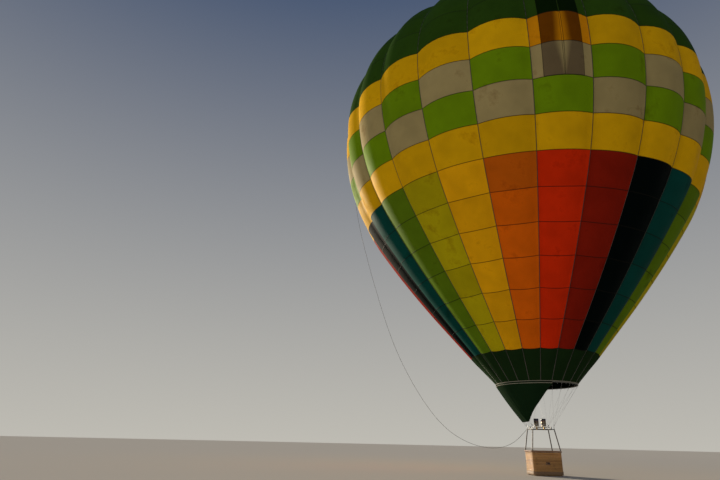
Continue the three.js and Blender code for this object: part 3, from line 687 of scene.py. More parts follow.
def cloth_material(name, stain=0.5, roughness=0.60):
    material, tree, shader = new_material(name, roughness, specular=CLOTH_GLOSS)
    dye = tree.nodes.new("ShaderNodeAttribute")
    dye.attribute_name = "cloth_colour"
    edges, weave_map = own_map(tree, "edges"), own_map(tree, "weave")
    seam = place_group(tree, seams, Edges=edges, Weave=weave_map, Seam_Width=SEAM_WIDTH)
    thread = place_group(tree, weave, Vector=weave_map, Pitch=0.0016, Rip_Every=5.0)
    spots = place_group(tree, stains, Vector=object_coordinates(tree), Size=1.1, Amount=stain)
    faded = remap(tree, spots["Fading"], 0.3, 0.75, 0.86, 1.08)
    colour = mix_colour(tree, 1.0, dye.outputs["Color"], faded, "MULTIPLY")
    colour = mix_colour(tree, spots["Mask"], colour, (0.36, 0.22, 0.12, 1), "MULTIPLY")
    ripped = calc(tree, "MULTIPLY", thread["Rip"], 0.10)
    colour = mix_colour(tree, ripped, colour, (0.0, 0.0, 0.0, 1))
    # Seam lines go nearly black: partly the stitched joint itself, partly painted shade, as doubled cloth
    # looks darker against the light.
    doubled_shade = calc(tree, "MULTIPLY", seam["Line"], 0.72)
    colour = mix_colour(tree, doubled_shade, colour, (0.010, 0.009, 0.007, 1))
    finish(tree, shader, colour, spots["Fading"], roughness - 0.06, roughness + 0.10)
    height = calc(tree, "MULTIPLY_ADD", thread["Height"], 0.006, seam["Height"])
    bump(tree, shader, height, 0.032)
    return material


envelope_cloth = cloth_material("envelope cloth")
mouth_cloth = cloth_material("mouth cloth", stain=0.25, roughness=0.8)

# %% Colours of the panels
CROWN_GREEN = (0.024, 0.062, 0.006)
GOLD = (0.68, 0.375, 0.003)
PALE = (0.34, 0.270, 0.120)
CHECK_GREEN = (0.145, 0.260, 0.003)
# MOUTH_GREEN is darker than the cloth's own dark green, so that the band reads black in shade: partly
# painted shade.
MOUTH_GREEN = (0.010, 0.027, 0.008)
GORE_COLOURS = (
    (0.66, 0.028, 0.003),
    (0.24, 0.012, 0.004),
    (0.001, 0.003, 0.003),
    (0.003, 0.052, 0.044),
    (0.095, 0.170, 0.006),
    (0.420, 0.350, 0.004),
    (0.760, 0.370, 0.004),
    (0.700, 0.125, 0.003),
)
RUSTY_TOP = (0.50, 0.100, 0.004)
VENT_GOLD = (0.62, 0.24, 0.003)
VENT_GORES = {"turning_vent_front": 0, "turning_vent_rear": 12}
fade_of_panel = random.Random(24)


def panel_colour(gore, row):
    if row < 0:
        dye = CROWN_GREEN
    elif row in (0, 3):
        dye = GOLD
    elif row in (1, 2):
        dye = PALE if (gore + row) % 2 else CHECK_GREEN
    elif row < 10:
        dye = GORE_COLOURS[gore % len(GORE_COLOURS)]
    else:
        dye = MOUTH_GREEN
    if row == 4 and gore % len(GORE_COLOURS) == 7:
        dye = RUSTY_TOP
    if row == 0 and gore in VENT_GORES.values():
        dye = VENT_GOLD
    tint = fade_of_panel.uniform(0.90, 1.08)
    return (*[min(1.0, tint * channel) for channel in dye], 1.0)


# %% Sew one ring of gores
COLUMNS = 8
STEPS = 6


def face_middle(unit, face):
    return sum((loop[unit].uv for loop in face.loops), Vector((0, 0))) / len(face.loops)


def chart_cloth(mesh, faces, uv_to_metres, uv_to_edges, dye_of, blended=False):
    """Give cloth its two maps in metres and its colours, from the unit map that patch() leaves.

    A face has one colour, or one at each corner where the colours are blended.
    """
    weave_chart = mesh.loops.layers.uv.get("weave") or mesh.loops.layers.uv.new("weave")
    edge_chart = mesh.loops.layers.uv.get("edges") or mesh.loops.layers.uv.new("edges")
    dyes = mesh.loops.layers.float_color
    dye_layer = dyes.get("cloth_colour") or dyes.new("cloth_colour")
    unit = mesh.loops.layers.uv.verify()
    for face in faces:
        middle = face_middle(unit, face)
        for loop in face.loops:
            dye = dye_of(loop[unit].uv if blended else middle)
            loop[weave_chart].uv = uv_to_metres(*loop[unit].uv)
            loop[edge_chart].uv = uv_to_edges(*loop[unit].uv)
            loop[dye_layer] = dye


def whole_gore(u, v):
    return 2 * u - 1


def gore_maps(top, foot, rows, share_at=whole_gore, width=2):
    """The two maps of a gore's panels, or of cloth whose width is less than a gore's 2 shares."""
    panel = (foot - top) / rows

    def metres(u, v):
        at = top + v * (foot - top)
        return (share_at(u, v) * gore_width(at) / 2, at)

    def edges(u, v):
        at = top + v * (foot - top)
        from_seam = (at - top) % panel
        return (min(u, 1 - u) * width * gore_width(at) / 2, min(from_seam, panel - from_seam))
    return metres, edges


def sew_gore(mesh, gore, first, last, foot):
    """One gore between two rows, as a grid bent on to the envelope's form."""
    top = row_at(first)
    rows = last - first
    dyes = [panel_colour(gore, first + row) for row in range(rows)]

    def place(u, v):
        return skin(top + v * (foot - top), gore, whole_gore(u, v))

    def dye_at(middle):
        return dyes[min(rows - 1, int(middle.y * rows))]

    _, faces = patch(mesh, COLUMNS, STEPS * rows, place)
    chart_cloth(mesh, faces, *gore_maps(top, foot, rows), dye_at)


def sew_ring(name, first, last, foot, material, slot):
    mesh = bmesh.new()
    for gore in range(GORES):
        sew_gore(mesh, gore, first, last, foot)
    bmesh.ops.remove_doubles(mesh, verts=mesh.verts, dist=SEW)
    piece(f"{name}_cloth", mesh, material, slot, f"{name}_panels", wall=SHELL)


# %% [markdown]
# ### Panels, ring by ring
#
# The crown is dark green. Under it come a gold row, two rows of green and pale checks and a
# second gold row. From there each gore keeps one colour down to the very dark heat-resistant cloth
# round the mouth, whose dark green is given darker still as painted shade. Eight colours run round
# the balloon three times.

# %% Envelope rings
for name, first, last, slot in (
    ("crown", -7, -4, "crown_cloth"), ("shoulder", -4, -2, "crown_cloth"),
    ("girth", -2, 0, "crown_cloth"), ("upper_band", 0, 2, "band_cloth"),
    ("lower_band", 2, 4, "band_cloth"), ("upper_gore", 4, 7, "gore_cloth"),
    ("lower_gore", 7, 10, "gore_cloth"),
):
    sew_ring(name, first, last, row_at(last), envelope_cloth, slot)
sew_ring("mouth_band", 10, 11, MOUTH_AT, mouth_cloth, "mouth_cloth")

# %% [markdown]
# ## Load tapes
#
# The cloth doesn't carry the basket. A woven tape over each seam does, from the crown ring to the
# mouth. Each tape is a narrow strip that follows the seam's profile, so one function lays it over
# any seam, and a loop calls it 24 times. Over the valve opening the tapes have no cloth under
# them, and they are sewn to a webbing hub at the top.

# %% Tape material
RIB_PITCH = 0.004
STITCH_PITCH = 0.008


def tape_material():
    material, tree, shader = new_material("woven tape", 0.75, sheen=0.2)
    across, along, _ = parts_of(tree, own_map(tree, "UVMap"))
    rib = calc(tree, "SINE", calc(tree, "MULTIPLY", along, math.tau / RIB_PITCH))
    edge = calc(tree, "PINGPONG", across, 0.5)
    stitched = remap(tree, edge, 0.10, 0.16, 1.0, 0.0)
    along_stitch = calc(tree, "FRACT", calc(tree, "DIVIDE", along, STITCH_PITCH))
    dashes = calc(tree, "GREATER_THAN", along_stitch, 0.45)
    stitch = calc(tree, "MULTIPLY", stitched, dashes)
    bump(tree, shader, calc(tree, "MULTIPLY_ADD", stitch, 0.8, rib), 0.0008)
    weathered = noise(tree, object_coordinates(tree), 3.0, 4.0)
    colour = mix_colour(tree, weathered, (0.020, 0.019, 0.017, 1), (0.075, 0.07, 0.06, 1))
    colour = mix_colour(tree, calc(tree, "MULTIPLY", stitch, 0.5), colour, (0.30, 0.28, 0.22, 1))
    feed(tree, shader.inputs["Base Color"], colour)
    return material


tape_cloth = tape_material()

# %% Tapes and crown
TAPE_HALF = 0.016
TAPE_LIFT = 0.0035
TAPE_THICKNESS = 0.003
TAPE_STEPS_PER_ROW = 4
CROWN_TAPE_HALF = 0.025
CROWN_TAPE_THICKNESS = 0.006
CROWN_TAPE_GAP = 0.003
HUB_START = 0.2
HUB_HALF = 0.016
HUB_BANDS = (0.205, 0.245, 0.285, 0.320)
HUB_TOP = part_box("crown_tapes")[1][2]


def tape(mesh, seam, start, end, half, lift, steps):
    """A strip over a seam, its map in metres along and in shares across."""
    angle = seam_angle(seam)
    across = Vector((math.cos(angle), math.sin(angle), 0))

    def place(u, v):
        radius, height, slope = seam_at(start + v * (end - start))
        base = around(radius + lift * math.cos(slope), height - lift * math.sin(slope), angle)
        return base + across * half * (2 * u - 1)

    _, faces = patch(mesh, 2, steps, place)
    chart = mesh.loops.layers.uv.verify()
    for face in faces:
        for loop in face.loops:
            loop[chart].uv.y *= end - start


valve_edge = row_at(-ROWS_TO_VALVE)
tape_steps = TAPE_STEPS_PER_ROW * round((MOUTH_AT - valve_edge) / ROW_PITCH)
tapes_mesh = bmesh.new()
crown_mesh = bmesh.new()
for seam in range(GORES):
    tape(tapes_mesh, seam, valve_edge - 0.002, MOUTH_AT, TAPE_HALF, TAPE_LIFT, tape_steps)
    tape(crown_mesh, seam, CROWN_AT + HUB_START, valve_edge - CROWN_TAPE_GAP, CROWN_TAPE_HALF, 0.0, 12)
piece("load_tapes", tapes_mesh, tape_cloth, "tape", wall=TAPE_THICKNESS)
piece("crown_tape_net", crown_mesh, tape_cloth, "tape", "crown_tapes", wall=CROWN_TAPE_THICKNESS)

hub_mesh = bmesh.new()
for radius in HUB_BANDS:
    band(hub_mesh, radius - HUB_HALF, radius + HUB_HALF, HUB_TOP - 0.016, HUB_TOP - 0.007)
piece("crown_hub_webbing", hub_mesh, tape_cloth, "tape")

# %% [markdown]
# ## Metals
#
# Stainless tube is brushed along its length, so its roughness changes in fine streaks. The burner
# steel has been hot: it turns straw, then blue, towards the top of the cans. Both materials use
# the streaks group with their own stretch.

# %% Metal materials
BRUSHED_RELIEF = 0.0003
DARK_TARNISH = (0.12, 0.10, 0.08, 1)


def metal_material(name, colour, roughness, stretch=(1, 1, 12), tarnish=DARK_TARNISH, amount=0.3):
    material, tree, shader = new_material(name, roughness, metallic=1.0)
    where = object_coordinates(tree)
    brushed = place_group(tree, streaks, Vector=where, Scale=90.0, Stretch=stretch)
    dirt = calc(tree, "MULTIPLY", remap(tree, brushed["Patch"], 0.5, 0.75), amount)
    tarnished = mix_colour(tree, dirt, colour, tarnish)
    finish(tree, shader, tarnished, brushed["Streak"], roughness - 0.08, roughness + 0.12)
    bump(tree, shader, brushed["Streak"], BRUSHED_RELIEF)
    return material


def heated_material(foot, top):
    """Stainless steel that has been hot: its tint follows the height up the can."""
    material, tree, shader = new_material("heat-tinted steel", 0.34, metallic=1.0)
    where = object_coordinates(tree)
    height = parts_of(tree, where)[2]
    brushed = place_group(tree, streaks, Vector=where, Scale=60.0, Stretch=(1, 1, 0.15))
    wander = remap(tree, brushed["Patch"], 0.3, 0.7, -0.05, 0.05)
    heat = remap(tree, calc(tree, "ADD", height, wander), foot, top)
    tint = tree.nodes.new("ShaderNodeValToRGB")
    stops = tint.color_ramp.elements
    stops[0].color = (0.24, 0.23, 0.22, 1)
    stops[1].color = (0.045, 0.043, 0.042, 1)
    stops.new(0.45).color = (0.20, 0.165, 0.115, 1)
    stops.new(0.62).color = (0.14, 0.085, 0.062, 1)
    stops.new(0.78).color = (0.060, 0.068, 0.105, 1)
    feed(tree, tint.inputs["Fac"], heat)
    finish(tree, shader, tint.outputs["Color"], brushed["Streak"], 0.28, 0.48)
    bump(tree, shader, brushed["Streak"], BRUSHED_RELIEF)
    return material


can_low, can_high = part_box("burner_can_left")
stainless = metal_material("brushed stainless", (0.44, 0.44, 0.43, 1), 0.42)
# The frame and the gimbal ring get a steel far darker than the brushed stainless.
dark_steel = metal_material("dark steel", (0.20, 0.20, 0.195, 1), 0.5)
brass = metal_material(
    "satin brass", (0.62, 0.43, 0.17, 1), 0.34, tarnish=(0.20, 0.12, 0.05, 1), amount=0.6,
)
wire_steel = metal_material("stranded wire", (0.42, 0.43, 0.44, 1), 0.38, stretch=(6, 6, 40))
heated_steel = heated_material(can_low[2], can_high[2])


# %% Plain finishes
def plain_material(name, dark, light, roughness, grain=8.0, sheen=0.0):
    """A plain finish of plastic or tape: two close shades, a fine grain and a patchy gloss."""
    material, tree, shader = new_material(name, roughness, sheen=sheen)
    where = object_coordinates(tree)
    patches = noise(tree, where, grain, 4.0)
    colour = mix_colour(tree, patches, dark, light)
    finish(tree, shader, colour, patches, roughness - 0.08, roughness + 0.08)
    bump(tree, shader, noise(tree, where, grain * 90, 2.0), 0.0006)
    return material


red_plastic = plain_material("red moulded plastic", (0.38, 0.012, 0.008, 1), (0.50, 0.03, 0.015, 1), 0.38)

# %% Crown ring
ring_low, ring_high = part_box("crown_ring")
ring_rod = (ring_high[2] - ring_low[2]) / 2
ring_radius = (ring_high[0] - ring_low[0]) / 2 - ring_rod
ring_height = (ring_low[2] + ring_high[2]) / 2
ring_mesh = bmesh.new()
tube(ring_mesh, hoop(ring_radius, ring_height, 64), ring_rod, 12, loop=True)
piece("crown_ring_bar", ring_mesh, stainless, "steel", "crown_ring")

# %% [markdown]
# ## Parachute valve
#
# The hole in the crown is closed from inside by a round panel, held up by the hot air. Pulling its
# line draws it down to let air out. It is cut in gores like the envelope, and it puffs up a
# little between them. A grid over each gore, bent to a dome just under the tapes, gives that form.

# %% Valve panel
VALVE_DROP = 0.060
VALVE_PUFF = 0.016
VALVE_CENTRE = 0.12
VALVE_OVERLAP = 0.33
VALVE_DYES = 3
valve_rim = valve_edge + VALVE_OVERLAP


def valve_point(distance, gore, share):
    radius, height, slope = seam_at(distance)
    puff = VALVE_PUFF * (1 - share * share) * min(1.0, radius)
    angle = seam_angle(gore + (share + 1) / 2)
    return around(radius, height - (VALVE_DROP - puff) * math.cos(slope), angle)


def sew_valve_gore(mesh, gore):
    start = CROWN_AT + VALVE_CENTRE
    dyes = [panel_colour(gore, -1) for _ in range(VALVE_DYES)]

    def dye_at(middle):
        return dyes[min(VALVE_DYES - 1, int(middle.y * VALVE_DYES))]

    def place(u, v):
        return valve_point(start + v * (valve_rim - start), gore, whole_gore(u, v))

    _, faces = patch(mesh, 4, 14, place)
    chart_cloth(mesh, faces, *gore_maps(start, valve_rim, 1), dye_at)


valve_mesh = bmesh.new()
for gore in range(GORES):
    sew_valve_gore(valve_mesh, gore)
bmesh.ops.remove_doubles(valve_mesh, verts=valve_mesh.verts, dist=SEW)
centre_edges = [
    edge for edge in valve_mesh.edges if edge.is_boundary and edge.verts[0].co.xy.length < 1
]
bmesh.ops.holes_fill(valve_mesh, edges=centre_edges, sides=0)
piece(
    "parachute_valve_cloth", valve_mesh, envelope_cloth, "crown_cloth", "parachute_valve",
    body="parachute_valve", wall=SHELL,
)

# %% [markdown]
# ## Turning vents
#
# On opposite sides two gores have a tall slot under a pair of flaps. Air let out between them
# turns the balloon. The flaps overlap the cloth under them, and there their colour is painted
# darker, as doubled cloth looks against the light: painted shade. Towards their meeting edges the
# second layer thins out, and a soft light stripe is painted there, which ends in a point at their
# foot: painted light, the glow of single cloth against the light. Each flap is a grid between its
# outer seam and its leaning inner edge, lifted a little off the gore, with a colour at each corner
# of a face, so that the painted stripe fades without a hard line.

# %% Flaps
VENT_TOP_ROW = -1
VENT_FOOT_ROW = 2
VENT_HALF = 0.66
VENT_LIFT = 0.012
VENT_BILLOW = 0.030
VENT_THICKNESS = 0.006
VENT_GAPS = (0.004, 0.016, 0.024, 0.004)
# The flaps' colour is painted: painted shade where the cloth is doubled, and a painted light stripe towards
# their meeting edges. Below come the stripe's half width and fade down the rows, the shade of doubled cloth
# in each row, and the rows that have the stripe.
STRIPE_HALF = (0.02, 0.10, 0.17, 0.0)
STRIPE_FADE = (0.01, 0.12, 0.12, 0.04)
PAINTED_DOUBLED_SHADE = ((0.16, 0.20, 0.20), (0.26, 0.20, 0.30), (0.40, 0.37, 0.44))
STRIPED = (0.0, 1.0, 1.0)


def flap(mesh, gore, side):
    top, foot = row_at(VENT_TOP_ROW), row_at(VENT_FOOT_ROW)
    rows = VENT_FOOT_ROW - VENT_TOP_ROW
    dyes = [panel_colour(gore, VENT_TOP_ROW + row) for row in range(rows)]

    def down_the_rows(values, v):
        row = min(rows - 1, int(v * rows))
        return values[row] + (v * rows - row) * (values[row + 1] - values[row])

    def share_at(u, v):
        inner = down_the_rows(VENT_GAPS, v)
        return side * (inner + (VENT_HALF - inner) * (u if side > 0 else 1 - u))

    def dye_at(corner, row):
        half, fade = down_the_rows(STRIPE_HALF, corner.y), down_the_rows(STRIPE_FADE, corner.y)
        across = (abs(share_at(*corner)) - half + fade) / (2 * fade)
        # Painted shade on doubled cloth, fading to the bare dye in the painted light stripe.
        doubled_shade = 1 - STRIPED[row] * (1 - min(1.0, max(0.0, across)))
        painted_shades = [1 + doubled_shade * (share - 1) for share in PAINTED_DOUBLED_SHADE[row]]
        return (*[painted_shade * channel for painted_shade, channel in zip(painted_shades, dyes[row])], 1.0)

    def place(u, v):
        share = share_at(u, v)
        down = math.sin(math.pi * min(1.0, v * 1.02)) ** 0.5
        billow = VENT_BILLOW * math.sin(math.pi * u) * down
        return skin(top + v * (foot - top), gore, share, VENT_LIFT + billow)

    _, faces = patch(mesh, 16, STEPS * rows, place)
    unit = mesh.loops.layers.uv.verify()
    maps = gore_maps(top, foot, rows, share_at, VENT_HALF)
    for row in range(rows):
        in_row = [face for face in faces if row <= face_middle(unit, face).y * rows < row + 1]
        chart_cloth(mesh, in_row, *maps, lambda corner: dye_at(corner, row), blended=True)


for name, gore in VENT_GORES.items():
    vent_mesh = bmesh.new()
    for side in (-1, 1):
        flap(vent_mesh, gore, side)
    piece(f"{name}_flaps", vent_mesh, envelope_cloth, "vent_cloth", name, wall=VENT_THICKNESS)

# %% [markdown]
# ## The mouth
#
# The lowest band ends in a hem of heat-resistant cloth over a wire. It is a round strip with a
# rolled edge, and a pale tape is sewn round the cloth just above it. Small clips hang from the hem
# for the scoop and the lines.

# %% Hem and clips
HEM_FOOT, HEM_TOP = (corner[2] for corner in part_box("mouth_hem"))
HEM_ROLL = (
    (0.006, 0.016), (0.008, 0.010), (0.006, 0.003), (0.0, 0.0), (-0.006, 0.003), (-0.007, 0.010),
    (-0.005, 0.016),
)
hem_mesh = bmesh.new()
hem_profile = [(MOUTH_RADIUS - 0.004, HEM_TOP), (MOUTH_RADIUS + 0.005, HEM_TOP)]
hem_profile += [(MOUTH_RADIUS + out, HEM_FOOT + up) for out, up in HEM_ROLL]
lathe(hem_mesh, hem_profile + hem_profile[:1], steps=144)
hem_cloth = plain_material(
    "hem tape", (0.05, 0.048, 0.04, 1), (0.14, 0.135, 0.11, 1), 0.8, grain=5.0, sheen=0.2,
)
piece("mouth_hem_tape", hem_mesh, hem_cloth, "tape", "mouth_hem")

TAPE_DROP = 0.012
TAPE_BAND = 0.020
TAPE_STAND = 0.009
mouth_tape_mesh = bmesh.new()


def mouth_tape_place(u, v):
    distance = MOUTH_AT - TAPE_DROP - TAPE_BAND * (1 - v)
    gore, share = divmod(u * GORES, 1)
    return skin(distance, gore, 2 * share - 1, TAPE_STAND)


patch(mouth_tape_mesh, 6 * GORES, 1, mouth_tape_place)
bmesh.ops.remove_doubles(mouth_tape_mesh, verts=mouth_tape_mesh.verts, dist=SEW)
pale_tape = plain_material("pale tape", (0.22, 0.21, 0.16, 1), (0.36, 0.35, 0.28, 1), 0.75, grain=6.0)
piece("mouth_edge_tape", mouth_tape_mesh, pale_tape, "tape", wall=TAPE_THICKNESS)

CLIP_LENGTH = 0.050
CLIP_RADIUS = 0.006
CLIP_LEAN = 0.010
LINK_DROP = 0.066
LINK_HALF_WIDE = 0.014
LINK_HALF_TALL = 0.018
clip_mesh = bmesh.new()
for half_gore in range(2 * GORES):
    angle = seam_angle(half_gore / 2)
    top = around(MOUTH_RADIUS - 0.012, HEM_FOOT + 0.03, angle)
    foot = top - around(CLIP_LEAN, 0, angle)
    rod(clip_mesh, top, foot - CLIP_LENGTH * UP, CLIP_RADIUS, 8)
    across = Vector((math.cos(angle), math.sin(angle), 0))
    link = loop_round(foot - LINK_DROP * UP, LINK_HALF_TALL * UP, LINK_HALF_WIDE * across, 12)
    tube(clip_mesh, link, 0.003, 6, loop=True)
piece("mouth_clips", clip_mesh, stainless, "steel")

# %% [markdown]
# ## Flying wires
#
# Six seams run on below the mouth as wires to each corner of the load frame. Each wire ends in a
# pressed sleeve, and the six meet in one link on the frame's lug. They are taut, so each is a
# straight thin rod.

# %% Load frame sizes
FRAME_HALF_X = 0.55
FRAME_HALF_Y = 0.45
FRAME_HEIGHT = GROUND + 2.195
FRAME_TUBE = 0.020
LUG_HOLE = GROUND + 2.262
LINK_RADIUS = 0.032
LINK_ROD = 0.005
LINK_HEIGHT = LUG_HOLE + 0.015 - LINK_ROD - 0.0015 + LINK_RADIUS
KNOB_HEIGHT = LINK_HEIGHT + LINK_RADIUS + 0.011 - LINK_ROD
WIRE_RADIUS = 0.0025
WIRE_TOP = HEM_FOOT - WIRE_RADIUS
SLEEVE_RADIUS = 0.0052
EYE_HALF_LONG = 0.022
EYE_HALF_WIDE = 0.010
CORNERS = (("front_right", 1, -1), ("rear_right", 1, 1), ("rear_left", -1, 1), ("front_left", -1, -1))


def corner_of_seam(seam):
    way = around(1, 0, seam_angle(seam))
    return next(name for name, sx, sy in CORNERS if sx * way.x > 0 and sy * way.y > 0)


# %% Wire fans
for name, sx, sy in CORNERS:
    fan = bmesh.new()
    x, y = sx * FRAME_HALF_X, sy * FRAME_HALF_Y
    knob = Vector((x, y, KNOB_HEIGHT))
    link_path = []
    for k in range(28):
        turn = math.tau * k / 28
        wide = LINK_RADIUS * (0.86 + 0.14 * math.cos(turn)) * math.sin(turn)
        link_path.append(Vector((x, y + wide, LINK_HEIGHT + LINK_RADIUS * math.cos(turn))))
    tube(fan, link_path, LINK_ROD, loop=True)
    nut = Vector((x, y + LINK_RADIUS * 0.88, LINK_HEIGHT))
    rod(fan, nut - 0.014 * UP, nut + 0.012 * UP, 0.0072, 10)
    for seam in range(GORES):
        if corner_of_seam(seam) != name:
            continue
        head = around(MOUTH_RADIUS, WIRE_TOP, seam_angle(seam))
        way = (head - knob).normalized()
        rod(fan, knob + way * 0.008, head, WIRE_RADIUS, 6)
        rod(fan, knob + way * 0.05, knob + way * 0.095, SLEEVE_RADIUS, 8)
        rod(fan, head - way * 0.16, head - way * 0.115, SLEEVE_RADIUS, 8)
        aside = way.orthogonal().normalized()
        eye = loop_round(knob + way * 0.026, way * EYE_HALF_LONG, aside * EYE_HALF_WIDE, 12)
        tube(fan, eye, 0.0026, 6, loop=True)
    piece(f"flying_wires_{name}_strands", fan, wire_steel, "wire", f"flying_wires_{name}")

# %% [markdown]
# ## The scoop
#
# On one side a skirt hangs from half of the mouth, to catch the air and shield the flame from the
# wind. It is one sheet, short at its two ends and drawn in to a tongue in the middle, that bellies
# out a little and has folds where it is drawn in. A grid takes the sheet's place between the hem
# and the foot, and its folds deepen towards the foot. A pale tape is sewn along its head.

# %% Scoop
SCOOP_GORES = 12
SCOOP_LAST_SEAM = 1
SCOOP_HEAD = HEM_FOOT - 0.012
SCOOP_FOOT = GROUND + 2.540
SCOOP_END_DROP = 0.100
SCOOP_WIRE_RISE = 0.43
SCOOP_CLEAR = 0.060
SCOOP_RADIUS = MOUTH_RADIUS + 0.012
SCOOP_THICKNESS = 0.004
FOOT_POWER = 4
END_POWER = 1.6
BELLY = 0.05
FOLD_DEPTH = 0.020
FOLDS_PER_GORE = 1.4
FLUTTER = 0.010


def wire_at(seam, height):
    _, sx, sy = next(corner for corner in CORNERS if corner[0] == corner_of_seam(seam))
    share = (height - KNOB_HEIGHT) / (WIRE_TOP - KNOB_HEIGHT)
    low = Vector((sx * FRAME_HALF_X, sy * FRAME_HALF_Y))
    return low + share * (around(MOUTH_RADIUS, 0, seam_angle(seam)).xy - low)


def from_scoop_middle(seam):
    return 1 + 2 * (seam - SCOOP_LAST_SEAM) / SCOOP_GORES


def scoop_drop(seam):
    """How far the scoop hangs below its head: its foot rises to the last wire, then to the hem."""
    gores = abs(from_scoop_middle(seam)) * SCOOP_GORES / 2
    last_wire = SCOOP_GORES / 2 - 1
    if gores <= last_wire:
        rise = SCOOP_WIRE_RISE * (gores / last_wire) ** FOOT_POWER
    else:
        rise = 1 - (1 - SCOOP_WIRE_RISE) * (SCOOP_GORES / 2 - gores) ** END_POWER
    at_middle = SCOOP_HEAD - SCOOP_FOOT
    return at_middle - (at_middle - SCOOP_END_DROP) * rise


def scoop_point(seam, share):
    """A point of the scoop: share is 0 at the hem's foot and 1 at the scoop's foot."""
    from_middle = from_scoop_middle(seam)
    height = SCOOP_HEAD - scoop_drop(seam)
    part = seam - math.floor(seam)
    before, after = wire_at(math.floor(seam), height), wire_at(math.ceil(seam), height)
    feet = before * (1 - part) + after * part
    out = around(1, 0, seam_angle(seam))
    foot = Vector((*feet, height)) + SCOOP_CLEAR * out
    head = around(SCOOP_RADIUS, SCOOP_HEAD, seam_angle(seam))
    belly = BELLY * math.sin(math.pi * share) * (1 - from_middle ** 2)
    fold = math.sin(math.tau * FOLDS_PER_GORE * seam)
    folds = FOLD_DEPTH * share ** 1.5 * fold * (1 - from_middle ** 4)
    flutter = FLUTTER * math.sin(9 * share + 3 * seam)
    return head.lerp(foot, share) + out * (belly + folds + flutter * share * (1 - share))


HEAD_LAP = 0.055
HEAD_SHARE = 0.06
HEAD_LENGTH = math.pi * SCOOP_RADIUS
NARROWING = 0.27
SCOOP_GREEN = (0.007, 0.021, 0.008, 1.0)
scoop_mesh = bmesh.new()


def scoop_seam(u):
    return SCOOP_LAST_SEAM - SCOOP_GORES * (1 - u)


def scoop_place(u, v):
    seam = scoop_seam(u)
    if v < HEAD_SHARE:
        up = (1 - v / HEAD_SHARE) * HEAD_LAP
        return around(SCOOP_RADIUS, SCOOP_HEAD + up, seam_angle(seam))
    return scoop_point(seam, (v - HEAD_SHARE) / (1 - HEAD_SHARE))


def scoop_metres(u, v):
    down = v * scoop_drop(scoop_seam(u))
    return ((u - 0.5) * HEAD_LENGTH * (1 - NARROWING * down), down)


def scoop_edges(u, v):
    down = v * scoop_drop(scoop_seam(u))
    across = min(u, 1 - u) * HEAD_LENGTH * (1 - NARROWING * down)
    return (across, min(down, scoop_drop(scoop_seam(u)) - down))


_, scoop_faces = patch(scoop_mesh, 96, 34, scoop_place)
chart_cloth(scoop_mesh, scoop_faces, scoop_metres, scoop_edges, lambda middle: SCOOP_GREEN)
scoop_area = sum(face.calc_area() for face in scoop_mesh.faces)
scoop = piece(
    "scoop_cloth", scoop_mesh, mouth_cloth, "mouth_cloth", "scoop", wall=SCOOP_THICKNESS, offset=1.0,
)
print("scoop area", round(scoop_area, 2), "square metres")

scoop_tape_mesh = bmesh.new()


def scoop_tape_place(u, v):
    seam = scoop_seam(u)
    down = TAPE_DROP + TAPE_BAND * v
    return scoop_point(seam, down / scoop_drop(seam)) + around(TAPE_STAND, 0, seam_angle(seam))


patch(scoop_tape_mesh, 96, 1, scoop_tape_place)
piece("scoop_edge_tape", scoop_tape_mesh, pale_tape, "tape", wall=TAPE_THICKNESS)

TIE_RADIUS = 0.004
TIE_SAG = 0.02
tie_loop = FRAME_TUBE + TIE_RADIUS
scoop_lines = bmesh.new()
for seam, corner_y in ((-6.6, 0.30), (-5, 0.0), (-3.4, -0.30)):
    start = scoop_point(seam, 0.995)
    end = Vector((-FRAME_HALF_X - FRAME_TUBE - 0.003, corner_y, FRAME_HEIGHT))
    middle = start.lerp(end, 0.5) - TIE_SAG * UP
    tube(scoop_lines, smooth_path([start, middle, end], 0.04), TIE_RADIUS, 6)
    bar = Vector((-FRAME_HALF_X, corner_y, FRAME_HEIGHT))
    tube(scoop_lines, loop_round(bar, Vector((tie_loop, 0, 0)), tie_loop * UP, 16), TIE_RADIUS, 6, loop=True)
piece("scoop_ties", scoop_lines, braid, "rope")

# %% [markdown]
# ## Plates and frames with holes
#
# Lugs, bearings and the perforated foot of a can are all plates round a hole. A grid can make
# each one. One way it runs round the hole, and the other way it runs over the front face, the outer
# edge, the back face and the inside of the hole, until it meets itself.

# %% A plate round a hole
PLATE_EDGE = 0.0015


def box_outline(half_width, half_height):
    """How far a box reaches from its middle, for a share of a turn."""
    def outline(turn):
        across, up = abs(math.cos(math.tau * turn)), abs(math.sin(math.tau * turn))
        return min(half_width / max(TINY, across), half_height / max(TINY, up))
    return outline


def rounded_top(half_width, foot):
    """How far a lug reaches from its hole: half round above, straight sides and foot below."""
    below = box_outline(half_width, foot)

    def outline(turn):
        return half_width if math.sin(math.tau * turn) >= 0 else below(turn)
    return outline


def pierced(mesh, hole, outline, thickness, place, sides=24):
    """A plate with a hole. place(across, up, depth) puts a point of it, depth being -1 to 1."""
    edge = PLATE_EDGE
    near_face = 1 - edge * 2 / thickness
    stations = (
        (0, 0, near_face), (edge, 0, 1), (-edge, 1, 1), (0, 1, near_face),
        (0, 1, -near_face), (-edge, 1, -1), (edge, 0, -1), (0, 0, -near_face),
    )
    count = len(stations)

    def put(u, v):
        inset, outside, depth = stations[round(v * count) % count]
        reach = (outline(u) if outside else hole) + inset
        turn = math.tau * u
        return place(reach * math.cos(turn), reach * math.sin(turn), depth * thickness / 2)

    close_up(mesh, *patch(mesh, sides, count, put))


def hex_bolt(mesh, centre, axis, across=0.013, height=0.007):
    """The head of a bolt with its washer, standing on a face along an axis."""
    centre, axis = Vector(centre), Vector(axis).normalized()
    rod(mesh, centre, centre + axis * 0.0015, across * 0.85, 16)
    rod(mesh, centre + axis * 0.0015, centre + axis * height, across / 2 * 1.15, 6)


